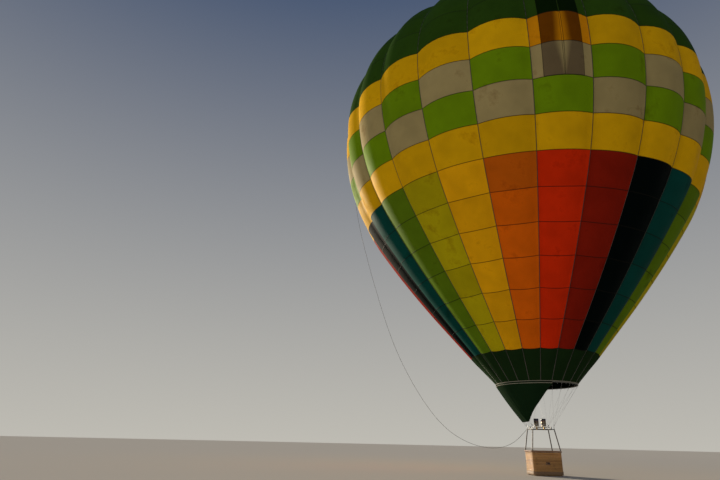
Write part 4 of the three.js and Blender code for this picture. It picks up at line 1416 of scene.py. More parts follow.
# %% [markdown]
# ## Load frame
#
# The frame is a welded rectangle of stainless tube. The flying wires pull up on the lugs at its
# corners, and the uprights stand in its sockets. In the middle of the two short sides are the
# bearings that the burner gimbal turns in. Every weld gets a thin bead.

# %% Load frame
PIN_HEIGHT = GROUND + 2.300
PIN_RADIUS = 0.009
PIN_HOLE = 0.0102
SOCKET_RADIUS = 0.024
SOCKET_LENGTH = 0.070
SOCKET_BOLT = 0.050
FRAME_BEND = 0.035
FRAME_BALL = 0.0262
CUFF_STAND = 0.0022
FOOT_X = 0.70425
FOOT_Y = 0.60425
RIM_TOP = GROUND + 1.166
LUG = rounded_top(0.025, 0.052)
BEARING = rounded_top(0.030, 0.100)


def upright_ends(sx, sy):
    low = Vector((sx * FOOT_X, sy * FOOT_Y, RIM_TOP))
    head = Vector((sx * FRAME_HALF_X, sy * FRAME_HALF_Y, FRAME_HEIGHT))
    return low, head


frame_mesh = bmesh.new()
frame_outline = rounded_rectangle(FRAME_HALF_X, FRAME_HALF_Y, FRAME_BEND, 6)
tube(frame_mesh, [Vector((x, y, FRAME_HEIGHT)) for x, y in frame_outline], FRAME_TUBE, 20, loop=True)
for name, sx, sy in CORNERS:
    low, head = upright_ends(sx, sy)
    down = (low - head).normalized()
    corner = Matrix.Translation(head)
    bmesh.ops.create_uvsphere(
        frame_mesh, u_segments=20, v_segments=12, radius=FRAME_BALL, matrix=corner,
    )
    rod(frame_mesh, head, head + down * SOCKET_LENGTH, SOCKET_RADIUS, 24)
    for at in (0.030, 0.062):
        rod(frame_mesh, head + down * at, head + down * (at + 0.008), SOCKET_RADIUS + CUFF_STAND, 24)
    side = down.cross(Vector((0, 1, 0))).normalized()
    for way in (side, -side):
        hex_bolt(frame_mesh, head + down * SOCKET_BOLT + way * (SOCKET_RADIUS - 0.001), way)
    x, y = sx * FRAME_HALF_X, sy * FRAME_HALF_Y
    pierced(
        frame_mesh, 0.015, LUG, 0.008,
        lambda a, b, depth: Vector((x + depth, y + a, LUG_HOLE + b)), sides=36,
    )
    bead_middle = Vector((x, y, FRAME_HEIGHT + 0.0245))
    bead = loop_round(bead_middle, Vector((0.0055, 0, 0)), Vector((0, 0.0262, 0)), 16)
    tube(frame_mesh, bead, 0.003, 6, loop=True)
for side in (-1, 1):
    x = side * FRAME_HALF_X
    pierced(
        frame_mesh, PIN_HOLE, BEARING, 0.040,
        lambda a, b, depth: Vector((x + depth, a, PIN_HEIGHT + b)), sides=36,
    )
    for edge in (-1, 1):
        bead = [Vector((x + edge * 0.0205, -0.030 + 0.006 * k, FRAME_HEIGHT + 0.010)) for k in range(11)]
        tube(frame_mesh, bead, 0.0035, 6)
        hex_bolt(frame_mesh, (x + edge * 0.020, 0.0, PIN_HEIGHT - 0.050), (edge, 0, 0), 0.012)
piece("load_frame_tube", frame_mesh, dark_steel, "steel", "load_frame", sharp=50)

# %% [markdown]
# ## Gimbal ring
#
# The ring is a bent square bar. Its two long pins turn in the frame's bearings about X, and the
# blocks on its long sides carry the burners' pins about Y.

# %% Gimbal ring
RING_HALF_X = 0.400
RING_HALF_Y = 0.240
RING_BAR = 0.0125
RING_BEND = 0.030
SHOULDER_RADIUS = 0.0165
SNAP_RING = 0.013


def square_section(half):
    """A square section with small rounded corners, for tube()."""
    def section(turn):
        across, up = 1.35 * math.cos(math.tau * turn), 1.35 * math.sin(math.tau * turn)
        return half * max(-1.0, min(1.0, across)), half * max(-1.0, min(1.0, up))
    return section


ring_bar = bmesh.new()
ring_outline = rounded_rectangle(RING_HALF_X, RING_HALF_Y, RING_BEND, 6)
ring_path = [Vector((x, y, PIN_HEIGHT)) for x, y in ring_outline]
tube(ring_bar, ring_path, square_section(RING_BAR), 16, loop=True)
for side in (-1, 1):
    y = side * RING_HALF_Y
    for start, end, radius in (
        (RING_HALF_X, 0.584, PIN_RADIUS),
        (RING_HALF_X + 0.008, RING_HALF_X + 0.024, SHOULDER_RADIUS),
        (0.5735, 0.5765, SHOULDER_RADIUS),
    ):
        rod(ring_bar, (side * start, 0, PIN_HEIGHT), (side * end, 0, PIN_HEIGHT), radius, 24)
    pin_end = Vector((side * 0.5795, 0, PIN_HEIGHT))
    snap_ring = loop_round(pin_end, Vector((0, SNAP_RING, 0)), SNAP_RING * UP, 16)
    tube(ring_bar, snap_ring, 0.0013, 6, loop=True)
    pierced(
        ring_bar, PIN_HOLE, box_outline(0.030, 0.027), 0.034,
        lambda a, b, depth: Vector((a, y + depth, PIN_HEIGHT + b)), sides=40,
    )
    for across in (-0.021, 0.021):
        hex_bolt(ring_bar, (across, y, PIN_HEIGHT + 0.027), (0, 0, 1), 0.010, 0.006)
piece("gimbal_ring_bar", ring_bar, dark_steel, "steel", "gimbal_ring", body="gimbal_ring", sharp=50)

# %% [markdown]
# ## Burners
#
# Two burners stand on one bar. Under each is a valve block with its levers, and the fuel comes in
# at its foot. The gas goes up through a coil inside the can, where the flame heats it, and comes
# back down to the jets. The can is thin steel with a rolled rim and a row of air holes at its foot.

# %% Bar, blocks and levers
BURNER_X = 0.190
JET_TOP = GROUND + 2.395
CAN_FOOT = GROUND + 2.360
CAN_TOP = GROUND + 2.720
CAN_RADIUS = 0.120
CAN_WALL = 0.007
BLOCK_FOOT = GROUND + 2.200
LEVER_HEIGHT = BLOCK_FOOT + 0.040
PORT_HEIGHT = BLOCK_FOOT + 0.036
SPIDER_HEIGHT = CAN_FOOT - 0.0073
JET_RADIUS = 0.058
PIPE_HEIGHT = JET_TOP + 0.009
STEM = (
    (0.0, 0.0), (0.022, 0.0), (0.022, 0.012), (0.016, 0.016), (0.016, 0.070), (0.026, 0.076),
    (0.026, 0.082), (0.0, 0.084),
)
HOSE_TAIL = (
    (0.0, 0.0), (0.0085, 0.0), (0.0085, 0.006), (0.0065, 0.007), (0.0065, 0.011), (0.0085, 0.012),
    (0.0110, 0.016), (0.0110, 0.034), (0.0, 0.034),
)
JET_PLATE = (
    (0.0, -0.010), (0.099, -0.010), (0.1045, -0.006), (0.1045, -0.001), (0.102, 0.0), (0.0, 0.0),
)
PILOT_JET = ((0.0, 0.0), (0.013, 0.0), (0.013, 0.050), (0.011, 0.055), (0.0, 0.055))
HAND_KNOB = ((0.0, -0.006), (0.014, -0.006), (0.018, -0.003), (0.019, 0.004), (0.016, 0.009), (0.0, 0.011))
LEVER_BENDS = ((0, 0, 0), (0, -0.012, 0.002), (0.012, -0.034, -0.012), (0.020, -0.060, -0.032))
GRIP_BENDS = ((0.010, -0.030, -0.010), (0.021, -0.066, -0.036), (0.022, -0.084, -0.056))

bar_mesh = bmesh.new()
block(bar_mesh, (0.520, 0.040, 0.036), (0, 0, PIN_HEIGHT), 0.003)
rod(bar_mesh, (0, -0.264, PIN_HEIGHT), (0, 0.264, PIN_HEIGHT), PIN_RADIUS, 24)
for side in (-1, 1):
    for start, end in ((0.2585, 0.2625), (0.203, 0.219)):
        rod(bar_mesh, (0, side * start, PIN_HEIGHT), (0, side * end, PIN_HEIGHT), 0.0155, 24)
    x = side * BURNER_X
    block(bar_mesh, (0.076, 0.084, 0.062), (x, 0, BLOCK_FOOT + 0.034), 0.004)
    block(bar_mesh, (0.060, 0.066, 0.030), (x, 0, BLOCK_FOOT + 0.075), 0.003)
    lathe(bar_mesh, STEM, Matrix.Translation((x, 0, PIN_HEIGHT + 0.004)), 24)
    for hose in (-0.018, 0.018):
        lathe(bar_mesh, HOSE_TAIL, Matrix.Translation((x + hose, 0, GROUND + 2.172)), 20)
    for across in (-0.026, 0.026):
        for deep in (-0.030, 0.030):
            hex_bolt(bar_mesh, (x + across, deep, BLOCK_FOOT + 0.065), UP, 0.009, 0.006)
    for out, start, end, height, radius, sides in (
        (0.0, -0.042, -0.060, LEVER_HEIGHT, 0.013, 24), (0.0, -0.060, -0.066, LEVER_HEIGHT, 0.008, 6),
        (-0.022, 0.042, 0.064, PORT_HEIGHT, 0.010, 24), (0.020, 0.042, 0.056, PORT_HEIGHT, 0.012, 24),
    ):
        rod(bar_mesh, (x + side * out, start, height), (x + side * out, end, height), radius, sides)
    for size in ((0.236, 0.022, 0.014), (0.022, 0.236, 0.014)):
        block(bar_mesh, size, (x, 0, SPIDER_HEIGHT), 0.002)
piece("burner_bar_blocks", bar_mesh, brass, "brass", "burner_bar", body="burner")

jet_mesh = bmesh.new()
for side in (-1, 1):
    x = side * BURNER_X
    lathe(jet_mesh, JET_PLATE, Matrix.Translation((x, 0, JET_TOP)), 48)
    tube(jet_mesh, hoop(JET_RADIUS, PIPE_HEIGHT, 48, x), 0.0085, 12, loop=True)
    for foot in hoop(JET_RADIUS, JET_TOP + 0.016, 24, x):
        rod(jet_mesh, foot, foot + 0.010 * UP, 0.0028, 8)
    for out in hoop(JET_RADIUS, PIPE_HEIGHT, 8, x)[1::2]:
        rod(jet_mesh, (x, 0, PIPE_HEIGHT), out, 0.0065, 10)
    rod(jet_mesh, (x, 0, JET_TOP), (x, 0, JET_TOP + 0.030), 0.016, 16)
    lathe(jet_mesh, PILOT_JET, Matrix.Translation((x + 0.030, 0.020, JET_TOP)), 20)
piece("burner_jets", jet_mesh, brass, "brass", body="burner")

lever_mesh = bmesh.new()
knob_mesh = bmesh.new()
for side in (-1, 1):
    hub_at = Vector((side * BURNER_X, -0.070, LEVER_HEIGHT))
    for mesh, bends, section, sides in (
        (lever_mesh, LEVER_BENDS, oval(0.0085, 0.0035), 12),
        (knob_mesh, GRIP_BENDS, oval(0.0115, 0.0065), 14),
    ):
        path = smooth_path([hub_at + Vector((side * x, y, z)) for x, y, z in bends], 0.006)
        tube(mesh, path, section, sides)
    wheel = Vector((side * (BURNER_X - 0.022), 0.070, PORT_HEIGHT))
    facing = Matrix.Translation(wheel) @ Matrix.Rotation(math.radians(-90), 4, "X")
    lathe(knob_mesh, HAND_KNOB, facing, 20)
piece("burner_levers", lever_mesh, stainless, "steel", body="burner", sharp=60)
piece("burner_lever_grips", knob_mesh, red_plastic, "cover", body="burner", sharp=60)

# %% Cans and coils
HOLE_BAND = 0.060
HOLES = 20
HOLE_RADIUS = 0.0105
BEAD = 0.0035
BEAD_SHARES = (0.30, 0.78)
RIM_ROD = 0.0062
COIL_PITCH = 0.038
COIL_RADIUS = 0.096
COIL_ROD = 0.009
COIL_TURNS = 5.5
COIL_STEPS = 30


def can(mesh, x):
    """A can: the pierced foot ring, then the turned wall with its beads and rolled rim."""
    middle = CAN_RADIUS - CAN_WALL / 2
    half_arc = math.pi / HOLES * middle
    for k in range(HOLES):
        def bend(a, b, depth):
            angle = math.tau * k / HOLES + a / middle
            return around(middle + depth, CAN_FOOT + HOLE_BAND / 2 + b, angle) + Vector((x, 0, 0))
        pierced(mesh, HOLE_RADIUS, box_outline(half_arc, HOLE_BAND / 2), CAN_WALL, bend)
    low = CAN_FOOT + HOLE_BAND
    outer, inner = CAN_RADIUS, CAN_RADIUS - CAN_WALL
    profile = [(inner, low), (outer, low)]
    for share in BEAD_SHARES:
        height = low + share * (CAN_TOP - low)
        for stand, up in ((0.0, -0.010), (BEAD, -0.004), (BEAD, 0.004), (0.0, 0.010)):
            profile.append((outer + stand, height + up))
    rim = CAN_TOP - 0.0065
    for step in range(9):
        turn = math.radians(-90 + 30 * step)
        profile.append((outer + 0.0005 + RIM_ROD * math.cos(turn), rim + RIM_ROD * math.sin(turn)))
    profile += [(inner, CAN_TOP - 0.004), (inner, low)]
    lathe(mesh, profile, Matrix.Translation((x, 0, 0)), 60)


def coil(mesh, x):
    """A coil that climbs from the jets, turns in over a knee and comes straight back down."""
    path = []
    for k in range(round(COIL_TURNS * COIL_STEPS)):
        turns = k / COIL_STEPS
        height = JET_TOP + 0.0093 + COIL_PITCH * turns
        path.append(around(COIL_RADIUS, height, math.tau * turns) + Vector((x, 0, 0)))
    top = path[-1]
    inward = Vector((x - top.x, -top.y, 0)).normalized()
    ahead = (path[-1] - path[-2]).normalized()
    knee = top + ahead * 0.018 + inward * 0.016
    down = knee + inward * 0.018 + ahead * 0.004 - 0.060 * UP
    foot = Vector((knee.x, knee.y, JET_TOP + 0.004)) + inward * 0.018
    path += smooth_path([
        knee, knee + inward * 0.016 + ahead * 0.004 - 0.014 * UP,
        down, foot + Vector((ahead.x, ahead.y, 0)) * 0.004,
    ], 0.008)
    tube(mesh, path, COIL_ROD, 10)


for name, side in (("left", -1), ("right", 1)):
    for part, make, ending, sharp in (("can", can, "wall", 50), ("coil", coil, "tube", 60)):
        node = f"burner_{part}_{name}"
        part_mesh = bmesh.new()
        make(part_mesh, side * BURNER_X)
        piece(
            f"{node}_{ending}", part_mesh, heated_steel, "burner_steel", node, body="burner", sharp=sharp,
        )

# %% [markdown]
# ## Finishes of the basket
#
# Willow is woven unpeeled or boiled, so every cane has a shade of its own. The material picks one
# from the height, since each row of weaving is one cane. Leather gets a fine grain and dark
# creases, and the runners are ash with its grain along the board.

# %% Basket materials
def willow_material(pitch):
    material, tree, shader = new_material("woven willow", 0.55, coat=0.08)
    where = object_coordinates(tree)
    row = calc(tree, "FLOOR", calc(tree, "DIVIDE", parts_of(tree, where)[2], pitch))
    pick = tree.nodes.new("ShaderNodeTexWhiteNoise")
    pick.noise_dimensions = "1D"
    feed(tree, pick.inputs["W"], row)
    around_cane = parts_of(tree, own_map(tree, "UVMap"))[0]
    grain = noise(tree, scaled(tree, where, (14, 14, 240)), 1.0, 4.0)
    stain = place_group(tree, stains, Vector=where, Size=0.22, Amount=0.55)
    grain_share = calc(tree, "MULTIPLY", grain, 0.45)
    tone = calc(tree, "MULTIPLY_ADD", pick.outputs["Value"], 0.55, grain_share)
    colour = mix_colour(tree, tone, (0.21, 0.092, 0.026, 1), (0.60, 0.33, 0.110, 1))
    colour = mix_colour(tree, stain["Mask"], colour, (0.055, 0.028, 0.012, 1))
    finish(tree, shader, colour, grain, 0.46, 0.68)
    groove = calc(tree, "SINE", calc(tree, "MULTIPLY", around_cane, math.tau * 5))
    bump(tree, shader, calc(tree, "MULTIPLY_ADD", groove, 0.25, grain), 0.0012)
    return material


def leather_material(name, dark, light, crease=26.0, roughness=0.55):
    material, tree, shader = new_material(name, roughness, coat=0.06)
    where = object_coordinates(tree)
    cells = tree.nodes.new("ShaderNodeTexVoronoi")
    cells.feature = "DISTANCE_TO_EDGE"
    feed(tree, cells.inputs["Vector"], where)
    feed(tree, cells.inputs["Scale"], 420.0)
    pores = remap(tree, cells.outputs["Distance"], 0.0, 0.12)
    wrinkles = noise(tree, scaled(tree, where, (1, 1, 2.4)), crease, 4.0, 0.6)
    worn = place_group(tree, stains, Vector=where, Size=0.16, Amount=0.7)
    darkest = [*[0.45 * channel for channel in dark[:3]], 1]
    colour = mix_colour(tree, wrinkles, dark, light)
    colour = mix_colour(tree, worn["Mask"], colour, darkest)
    finish(tree, shader, colour, worn["Fading"], roughness - 0.1, roughness + 0.12)
    bump(tree, shader, calc(tree, "MULTIPLY_ADD", pores, 0.25, wrinkles), 0.0022)
    return material


def wood_material(name, dark, light, stretch, roughness=0.5):
    material, tree, shader = new_material(name, roughness, coat=0.15)
    where = object_coordinates(tree)
    fibres = noise(tree, scaled(tree, where, stretch), 1.0, 6.0, 0.65)
    rings = noise(tree, scaled(tree, where, [0.25 * part for part in stretch]), 1.0, 2.0)
    ring = calc(tree, "SINE", calc(tree, "MULTIPLY", rings, 30.0))
    tone = calc(tree, "MULTIPLY_ADD", ring, 0.18, fibres)
    colour = mix_colour(tree, tone, dark, light)
    finish(tree, shader, colour, fibres, roughness - 0.1, roughness + 0.15)
    bump(tree, shader, fibres, 0.0008)
    return material


def padded_cloth_material(name, dark, light, roughness=0.85):
    material, tree, shader = new_material(name, roughness, sheen=0.3)
    where = object_coordinates(tree)
    thread = place_group(tree, weave, Vector=own_map(tree, "UVMap"), Pitch=0.02, Rip_Every=40.0)
    dust = noise(tree, where, 5.0, 5.0)
    feed(tree, shader.inputs["Base Color"], mix_colour(tree, dust, dark, light))
    height = calc(tree, "MULTIPLY_ADD", thread["Height"], 0.2, noise(tree, where, 26.0, 3.0))
    bump(tree, shader, height, 0.003)
    return material


STRAND_PITCH = 0.0198
willow = willow_material(STRAND_PITCH)
rim_leather = leather_material("rim leather", (0.110, 0.048, 0.022, 1), (0.34, 0.175, 0.085, 1))
hide = leather_material(
    "base hide", (0.10, 0.055, 0.024, 1), (0.24, 0.14, 0.065, 1), crease=14.0, roughness=0.65,
)
ash = wood_material("ash board", (0.22, 0.12, 0.05, 1), (0.46, 0.30, 0.15, 1), (3, 60, 60))
plywood = wood_material("plywood", (0.26, 0.16, 0.08, 1), (0.44, 0.30, 0.16, 1), (2, 26, 90), roughness=0.6)
upright_cloth = padded_cloth_material(
    "upright cover", (0.024, 0.013, 0.010, 1), (0.080, 0.044, 0.032, 1), roughness=0.42,
)
jacket_cloth = padded_cloth_material(
    "cylinder jacket", (0.014, 0.020, 0.032, 1), (0.035, 0.046, 0.066, 1),
)

# %% [markdown]
# ## Uprights
#
# Four slim nylon rods hold the frame up off the basket when the balloon isn't flying. Each is in a
# long padded cover with a closing flap down its inner side. The cover is a tube whose
# section has the flap's step, and cuffs close it at both ends.

# %% Uprights
UPRIGHT_RADIUS = 0.028
COVER_STEPS = 60
COVER_FOOT_GAP = 0.008
COVER_HEAD_GAP = SOCKET_LENGTH + 0.0003
SWELLS = 7
STRAPS_AT = (0.02, 0.30, 0.58, 0.86, 1.15)
STRAP_HALF = 0.012


def cover_section(turn):
    """A round section with a flat overlapping flap on one side."""
    flap_side = max(0.0, math.cos(math.tau * turn)) ** 12
    radius = UPRIGHT_RADIUS * (0.955 + 0.07 * flap_side)
    return radius * math.cos(math.tau * turn), radius * math.sin(math.tau * turn)


for name, sx, sy in CORNERS:
    low, head = upright_ends(sx, sy)
    along = (head - low).normalized()
    start, end = low + along * COVER_FOOT_GAP, head - along * COVER_HEAD_GAP
    length = (end - start).length
    cover = bmesh.new()
    path = [start.lerp(end, k / COVER_STEPS) for k in range(COVER_STEPS + 1)]
    tube(cover, path, cover_section, 20)
    for vert in cover.verts:
        share = (vert.co - start).dot(along) / length
        centre = start.lerp(end, share)
        swell = 1.0 - 0.05 * math.cos(math.tau * SWELLS * share) * math.sin(math.pi * share)
        vert.co = centre + (vert.co - centre) * min(1.03, swell)
    node = f"upright_{name}"
    sleeve = piece(f"{node}_cover", cover, upright_cloth, "cover", node, sharp=70)
    cuffs = bmesh.new()
    for at in STRAPS_AT:
        middle = start + along * min(at, length - 0.02)
        half = along * STRAP_HALF
        rod(cuffs, middle - half, middle + half, UPRIGHT_RADIUS + CUFF_STAND, 24)
    piece(f"{node}_straps", cuffs, tape_cloth, "tape", sharp=50)

# %% [markdown]
# ## The basket
#
# The walls are woven. Upright stakes stand round the floor, and each cane runs round them, out
# over one and in behind the next, with the next row the other way about. One cane is a tube
# whose path swings in and out with the stakes. Where a step hole is, the cane ends at the hole's
# bound edge.

# %% The basket's outline
BASKET_HALF_X = 0.750
BASKET_HALF_Y = 0.650
CORNER = 0.120
WALL = 0.030
WALL_FOOT = GROUND + 0.0756
WALL_TOP = GROUND + 1.100
STEP_HALF = 0.095
STEP_SILL = GROUND + 0.520
STEP_TOP = STEP_SILL + 0.110
STRAIGHT_X = 2 * (BASKET_HALF_X - CORNER)
STRAIGHT_Y = 2 * (BASKET_HALF_Y - CORNER)


def basket_round(inset):
    """The length once round the basket, this far inside its outer face."""
    return 2 * (STRAIGHT_X + STRAIGHT_Y) + math.tau * (CORNER - inset)


def basket_at(distance, inset, height):
    """A point round the basket, counted from the middle of its right side, and its outward way."""
    bend = math.pi / 2 * (CORNER - inset)
    left = distance % basket_round(inset)
    x, y, way = BASKET_HALF_X - CORNER, 0.0, 0.0
    for straight in (STRAIGHT_Y / 2, STRAIGHT_X, STRAIGHT_Y, STRAIGHT_X, STRAIGHT_Y / 2):
        step = min(left, straight)
        x -= step * math.sin(way)
        y += step * math.cos(way)
        left -= step
        turn = min(left, bend)
        way += turn / (CORNER - inset)
        left -= turn
    out = Vector((math.cos(way), math.sin(way), 0))
    return Vector((x, y, height)) + out * (CORNER - inset), out


# %% Weave the walls
MIDDLE = WALL / 2
ROUND = basket_round(MIDDLE)
STAKES = 90
STAKE_PITCH = ROUND / STAKES
SWING = 0.0058
CANE_TALL = 0.0104
CANE = oval(0.0068, CANE_TALL)
CANE_SIDES = 6
STAKE_RADIUS = 0.0052
HOLE_GAP = 0.004
HOLE_MIDDLE = (STEP_SILL + STEP_TOP) / 2
wobble = random.Random(7)


def cane_height(row):
    return WALL_FOOT + CANE_TALL + row * STRAND_PITCH


def cane_points(row, first, last):
    """The path of one cane between two counts of half stakes."""
    height = cane_height(row)
    points = []
    for half in range(first, last + 1):
        swing = 0.0 if half % 2 else SWING * (1 if (half // 2 + row) % 2 else -1)
        point, out = basket_at(half * STAKE_PITCH / 2, MIDDLE, height + wobble.uniform(-0.0012, 0.0012))
        points.append(point + out * (swing + wobble.uniform(-0.0006, 0.0006)))
    return points


strand_rows = int((WALL_TOP - WALL_FOOT - 2 * CANE_TALL) / STRAND_PITCH) + 1
HALVES = 2 * STAKES
weaving = bmesh.new()
hole_middles = (HALVES / 4, 3 * HALVES / 4)
near, far = hole_middles
hole_halves = math.ceil((STEP_HALF + HOLE_GAP) / (STAKE_PITCH / 2))
for row in range(strand_rows):
    if STEP_SILL - CANE_TALL < cane_height(row) < STEP_TOP + CANE_TALL:
        for before, after in ((near, far), (far, near + HALVES)):
            first, last = math.ceil(before) + hole_halves, math.floor(after) - hole_halves
            tube(weaving, cane_points(row, first, last), CANE, CANE_SIDES)
    else:
        tube(weaving, cane_points(row, 0, HALVES - 1), CANE, CANE_SIDES, loop=True)
for stake in range(STAKES):
    low, _ = basket_at(stake * STAKE_PITCH, MIDDLE, WALL_FOOT)
    high, _ = basket_at(stake * STAKE_PITCH, MIDDLE, WALL_TOP)
    from_hole = min(abs(2 * stake - middle) for middle in hole_middles)
    if from_hole < hole_halves:
        rod(weaving, low, (*low.xy, STEP_SILL - HOLE_GAP), STAKE_RADIUS, 8)
        rod(weaving, (*low.xy, STEP_TOP + HOLE_GAP), high, STAKE_RADIUS, 8)
    else:
        rod(weaving, low, high, STAKE_RADIUS, 8)
piece("basket_weaving", weaving, willow, "wicker", "basket_walls", sharp=75)
print(strand_rows, "rows of cane")

# %% Step hole frames
HOLE_BEND = 0.020
HOLE_STEP = 0.008
frames_mesh = bmesh.new()
for side in (-1, 1):
    y = side * (BASKET_HALF_Y - MIDDLE)
    outline = rounded_rectangle(STEP_HALF, (STEP_TOP - STEP_SILL) / 2, HOLE_BEND, 4)
    corners = [Vector((x, y, HOLE_MIDDLE + up)) for x, up in outline]
    hole_path = []
    for here, there in zip(corners, corners[1:] + corners[:1]):
        count = max(1, round((there - here).length / HOLE_STEP))
        hole_path += [here.lerp(there, k / count) for k in range(count)]
    tube(frames_mesh, hole_path, oval(0.0065, 0.0175), 12, loop=True)
piece("step_hole_bindings", frames_mesh, rim_leather, "leather", sharp=70)

# %% [markdown]
# ### Rim, hide band, floor and runners
#
# The rim is foam on a cane frame under sewn leather, laced down to the wall. Rawhide goes
# round the foot of the wall, where it is dragged over the ground on landing. It is laced to the
# weaving with thongs.

# %% Padded rim
def carried_round(mesh, section, inset, height, steps, sides):
    """Carry a section of (outward, up) once round the basket."""
    length = basket_round(inset)

    def place(u, v):
        point, out = basket_at(v * length, inset, height)
        a, b = section(u, v)
        return point + out * a + Vector((0, 0, b))

    close_up(mesh, *patch(mesh, sides, steps, place))


RIM_WIDE = 0.046
RIM_TALL = 0.033
RIM_MIDDLE = WALL_TOP + 0.0003 + RIM_TALL
RIM_SQUARENESS = 0.72
RIM_PUFF = 0.0012
LACE_PULL = 0.0022
LACES = 96


def squared(value):
    return math.copysign(abs(value) ** RIM_SQUARENESS, value)


def rim_section(u, v):
    turn = math.tau * u
    across, up = math.cos(turn), math.sin(turn)
    pull = LACE_PULL * max(0.0, -up) * (0.5 + 0.5 * math.cos(math.tau * LACES * v))
    puff = RIM_PUFF * math.sin(math.tau * 11 * v) * up
    return squared(across) * (RIM_WIDE - pull), squared(up) * (RIM_TALL - RIM_PUFF) + puff


rim_mesh = bmesh.new()
carried_round(rim_mesh, rim_section, MIDDLE, RIM_MIDDLE, 4 * LACES, 24)
rim = piece("rim_padding_leather", rim_mesh, rim_leather, "leather", "rim_padding", sharp=180)

LACE_BENDS = ((0.0165, -0.030, 0.0), (0.026, -0.002, 0.008), (0.0375, 0.012, 0.016))
LACE_RADIUS = 0.0028
rim_stitches = bmesh.new()
for lace in range(LACES):
    for side in (-1, 1):
        point, out = basket_at((lace + 0.5 * (side > 0)) / LACES * ROUND, MIDDLE, WALL_TOP)
        along = UP.cross(out)
        stitch = [point + out * side * away + up * UP + along * on for away, up, on in LACE_BENDS]
        tube(rim_stitches, stitch, LACE_RADIUS, 6)
piece("rim_lacing", rim_stitches, tape_cloth, "tape", sharp=70)

# %% Hide band and its thongs
HIDE_FOOT = GROUND + 0.053
HIDE_TOP = HIDE_FOOT + 0.150
HIDE_CORNERS = (
    (0.0004, 0.0), (0.0066, 0.0), (0.0078, 0.003), (0.0078, 0.147), (0.0066, 0.150), (0.0004, 0.150),
)


def hide_section(u, v):
    """Round the band's section: up the outside, over the top and down the inside."""
    out, up = HIDE_CORNERS[round(u * len(HIDE_CORNERS)) % len(HIDE_CORNERS)]
    wave = 0.0014 * math.sin(math.tau * 23 * v + 20 * up) if out > 0.001 else 0.0
    scallop = 0.004 * math.sin(math.tau * 41 * v) if up > 0.1 else 0.0
    return out + wave * 0.5, up + min(0.0, scallop)


hide_mesh = bmesh.new()
carried_round(hide_mesh, hide_section, 0.0, HIDE_FOOT, 360, 6)
piece("hide_band_leather", hide_mesh, hide, "leather", "hide_band", sharp=60)

THONGS = 60
THONG_RADIUS = 0.0026
THONG_BENDS = ((0.0, -0.020, 0.0095), (0.012, 0.001, 0.0045), (0.024, 0.022, 0.0045))
thongs = bmesh.new()
for k in range(THONGS):
    start = k / THONGS * basket_round(0.0)
    for way, over in ((1, 0.0), (-1, 0.001)):
        thong = []
        for on, up, away in THONG_BENDS:
            point, out = basket_at(start + way * on, 0.0, HIDE_TOP + up)
            thong.append(point + out * (away + over))
        tube(thongs, thong, THONG_RADIUS, 6)
piece("hide_thongs", thongs, rim_leather, "leather", sharp=70)

# %% Floor and runners
FLOOR_INSET = 0.004
FLOOR_FOOT = GROUND + 0.0503
FLOOR_THICKNESS = 0.025
FLOOR_STEPS = 64
BOARD_ROUNDING = 0.003
RUNNER_SIZE = (1.400, 0.060, 0.050)
RUNNER_TOE = 0.026

floor_board = bmesh.new()
once_round = [k / FLOOR_STEPS * basket_round(FLOOR_INSET) for k in range(FLOOR_STEPS)]
floor_points = [basket_at(distance, FLOOR_INSET, FLOOR_FOOT)[0] for distance in once_round]
floor_face = floor_board.faces.new([floor_board.verts.new(point) for point in floor_points])
raised = bmesh.ops.extrude_face_region(floor_board, geom=[floor_face])["geom"]
raised_verts = [item for item in raised if isinstance(item, bmesh.types.BMVert)]
bmesh.ops.translate(floor_board, verts=raised_verts, vec=FLOOR_THICKNESS * UP)
bmesh.ops.recalc_face_normals(floor_board, faces=floor_board.faces)
rims = [edge for edge in floor_board.edges if abs(edge.verts[0].co.z - edge.verts[1].co.z) < TINY]
round_over(floor_board, rims, BOARD_ROUNDING)
piece("basket_floor_board", floor_board, plywood, "floor_board", "basket_floor", sharp=50)

for name, y in (("front", -0.480), ("middle", 0.0), ("rear", 0.480)):
    runner = bmesh.new()
    block(runner, RUNNER_SIZE, (0, y, GROUND + RUNNER_SIZE[2] / 2))
    toes = [
        edge for edge in runner.edges
        if all(abs(vert.co.x) > 0.69 and vert.co.z < GROUND + 0.01 for vert in edge.verts)
    ]
    round_over(runner, toes, RUNNER_TOE, segments=6)
    long_edges = [
        edge for edge in runner.edges if len(edge.link_faces) == 2 and edge.calc_face_angle(0) > 1.0
    ]
    round_over(runner, long_edges, BOARD_ROUNDING)
    piece(f"runner_{name}_board", runner, ash, "wood", f"runner_{name}", sharp=40)

# %% [markdown]
# ## Fuel cylinders
#
# Four cylinders stand in the corners in padded jackets, strapped to the wall. A guard collar
# stands round each valve. Jacket, metal and straps are turned or carried round separately.

# %% Fuel cylinders
CYLINDER_FOOT = GROUND + 0.0756
CYLINDER_X = 0.530
CYLINDER_Y = 0.430
QUILTS = 8
QUILT_FOOT = 0.010
QUILT_PITCH = 0.085
QUILT_PROFILE = ((0.10, 0.157), (0.30, 0.1598), (0.60, 0.1600), (0.90, 0.157), (1.0, 0.1545))
JACKET_FOOT = ((0.0, 0.002), (0.150, 0.002), (0.158, QUILT_FOOT))
JACKET_TOP = (
    (0.150, 0.706), (0.134, 0.735), (0.112, 0.760), (0.106, 0.765), (0.104, 0.760), (0.100, 0.755),
    (0.0, 0.750),
)
COLLAR = (
    (0.0, 0.752), (0.100, 0.752), (0.1065, 0.768), (0.098, 0.781), (0.098, 0.850), (0.0965, 0.8515),
    (0.0945, 0.850), (0.0945, 0.790), (0.070, 0.793), (0.040, 0.796), (0.0, 0.797),
)
VALVE_BODY = ((0.0, 0.794), (0.026, 0.794), (0.026, 0.800), (0.018, 0.803), (0.018, 0.820), (0.0, 0.821))
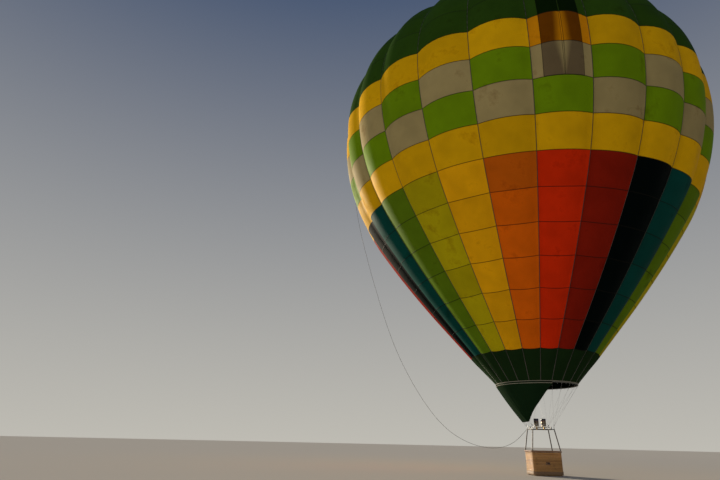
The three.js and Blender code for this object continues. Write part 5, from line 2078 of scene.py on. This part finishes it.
WHEEL = ((0.0, 0.822), (0.020, 0.822), (0.026, 0.825), (0.026, 0.833), (0.020, 0.837), (0.0, 0.838))
OUTLET_HEIGHT = CYLINDER_FOOT + 0.812
STRAP_HEIGHTS = (0.180, 0.520)
STRAP_WIDTH = 0.050
BUCKLE_HALF_WIDE = 0.020
BUCKLE_HALF_TALL = 0.030

jacket_profile = list(JACKET_FOOT)
for quilt in range(QUILTS):
    for share, out in QUILT_PROFILE:
        jacket_profile.append((out, QUILT_FOOT + (quilt + share) * QUILT_PITCH))
jacket_profile += JACKET_TOP
for name, sx, sy in CORNERS:
    node = f"fuel_cylinder_{name}"
    x, y = sx * CYLINDER_X, sy * CYLINDER_Y
    where = Matrix.Translation((x, y, CYLINDER_FOOT))
    jacket = bmesh.new()
    lathe(jacket, jacket_profile, where, 40)
    padded_jacket = piece(f"{node}_jacket", jacket, jacket_cloth, "cover", node, sharp=60)
    metal = bmesh.new()
    lathe(metal, COLLAR, where, 40)
    piece(f"{node}_head", metal, stainless, "steel", sharp=50)
    valve_mesh = bmesh.new()
    lathe(valve_mesh, VALVE_BODY, where, 20)
    for start, end, radius, sides in ((0.0, 0.050, 0.009, 16), (0.050, 0.066, 0.013, 6)):
        outlet = [(x - sx * reach, y, OUTLET_HEIGHT) for reach in (start, end)]
        rod(valve_mesh, *outlet, radius, sides)
    gauge = where @ Matrix.Translation((0.0, sy * 0.030, 0.0)) @ Matrix.Diagonal((0.45, 0.45, 1, 1))
    band(valve_mesh, 0.040, 0.058, 0.797, 0.803, gauge, 20)
    piece(f"{node}_valve", valve_mesh, brass, "brass")
    wheel_mesh = bmesh.new()
    lathe(wheel_mesh, WHEEL, where, 18)
    piece(f"{node}_wheel", wheel_mesh, red_plastic, "cover")
    strap_mesh = bmesh.new()
    away = Vector((-sx * math.sqrt(0.5), -sy * math.sqrt(0.5), 0))
    across = BUCKLE_HALF_WIDE * UP.cross(away)
    for height in STRAP_HEIGHTS:
        band(strap_mesh, 0.1575, 0.1625, height, height + STRAP_WIDTH, where, 40)
        buckle = Vector((x, y, CYLINDER_FOOT + height + STRAP_WIDTH / 2)) + away * 0.166
        tall = BUCKLE_HALF_TALL * UP
        corners = [across - tall, across + tall, tall - across, -across - tall]
        tube(strap_mesh, [buckle + corner for corner in corners], 0.003, loop=True)
    piece(f"{node}_straps", strap_mesh, tape_cloth, "tape", sharp=50)

# %% The count of pieces
print(len(PIECES), "pieces")
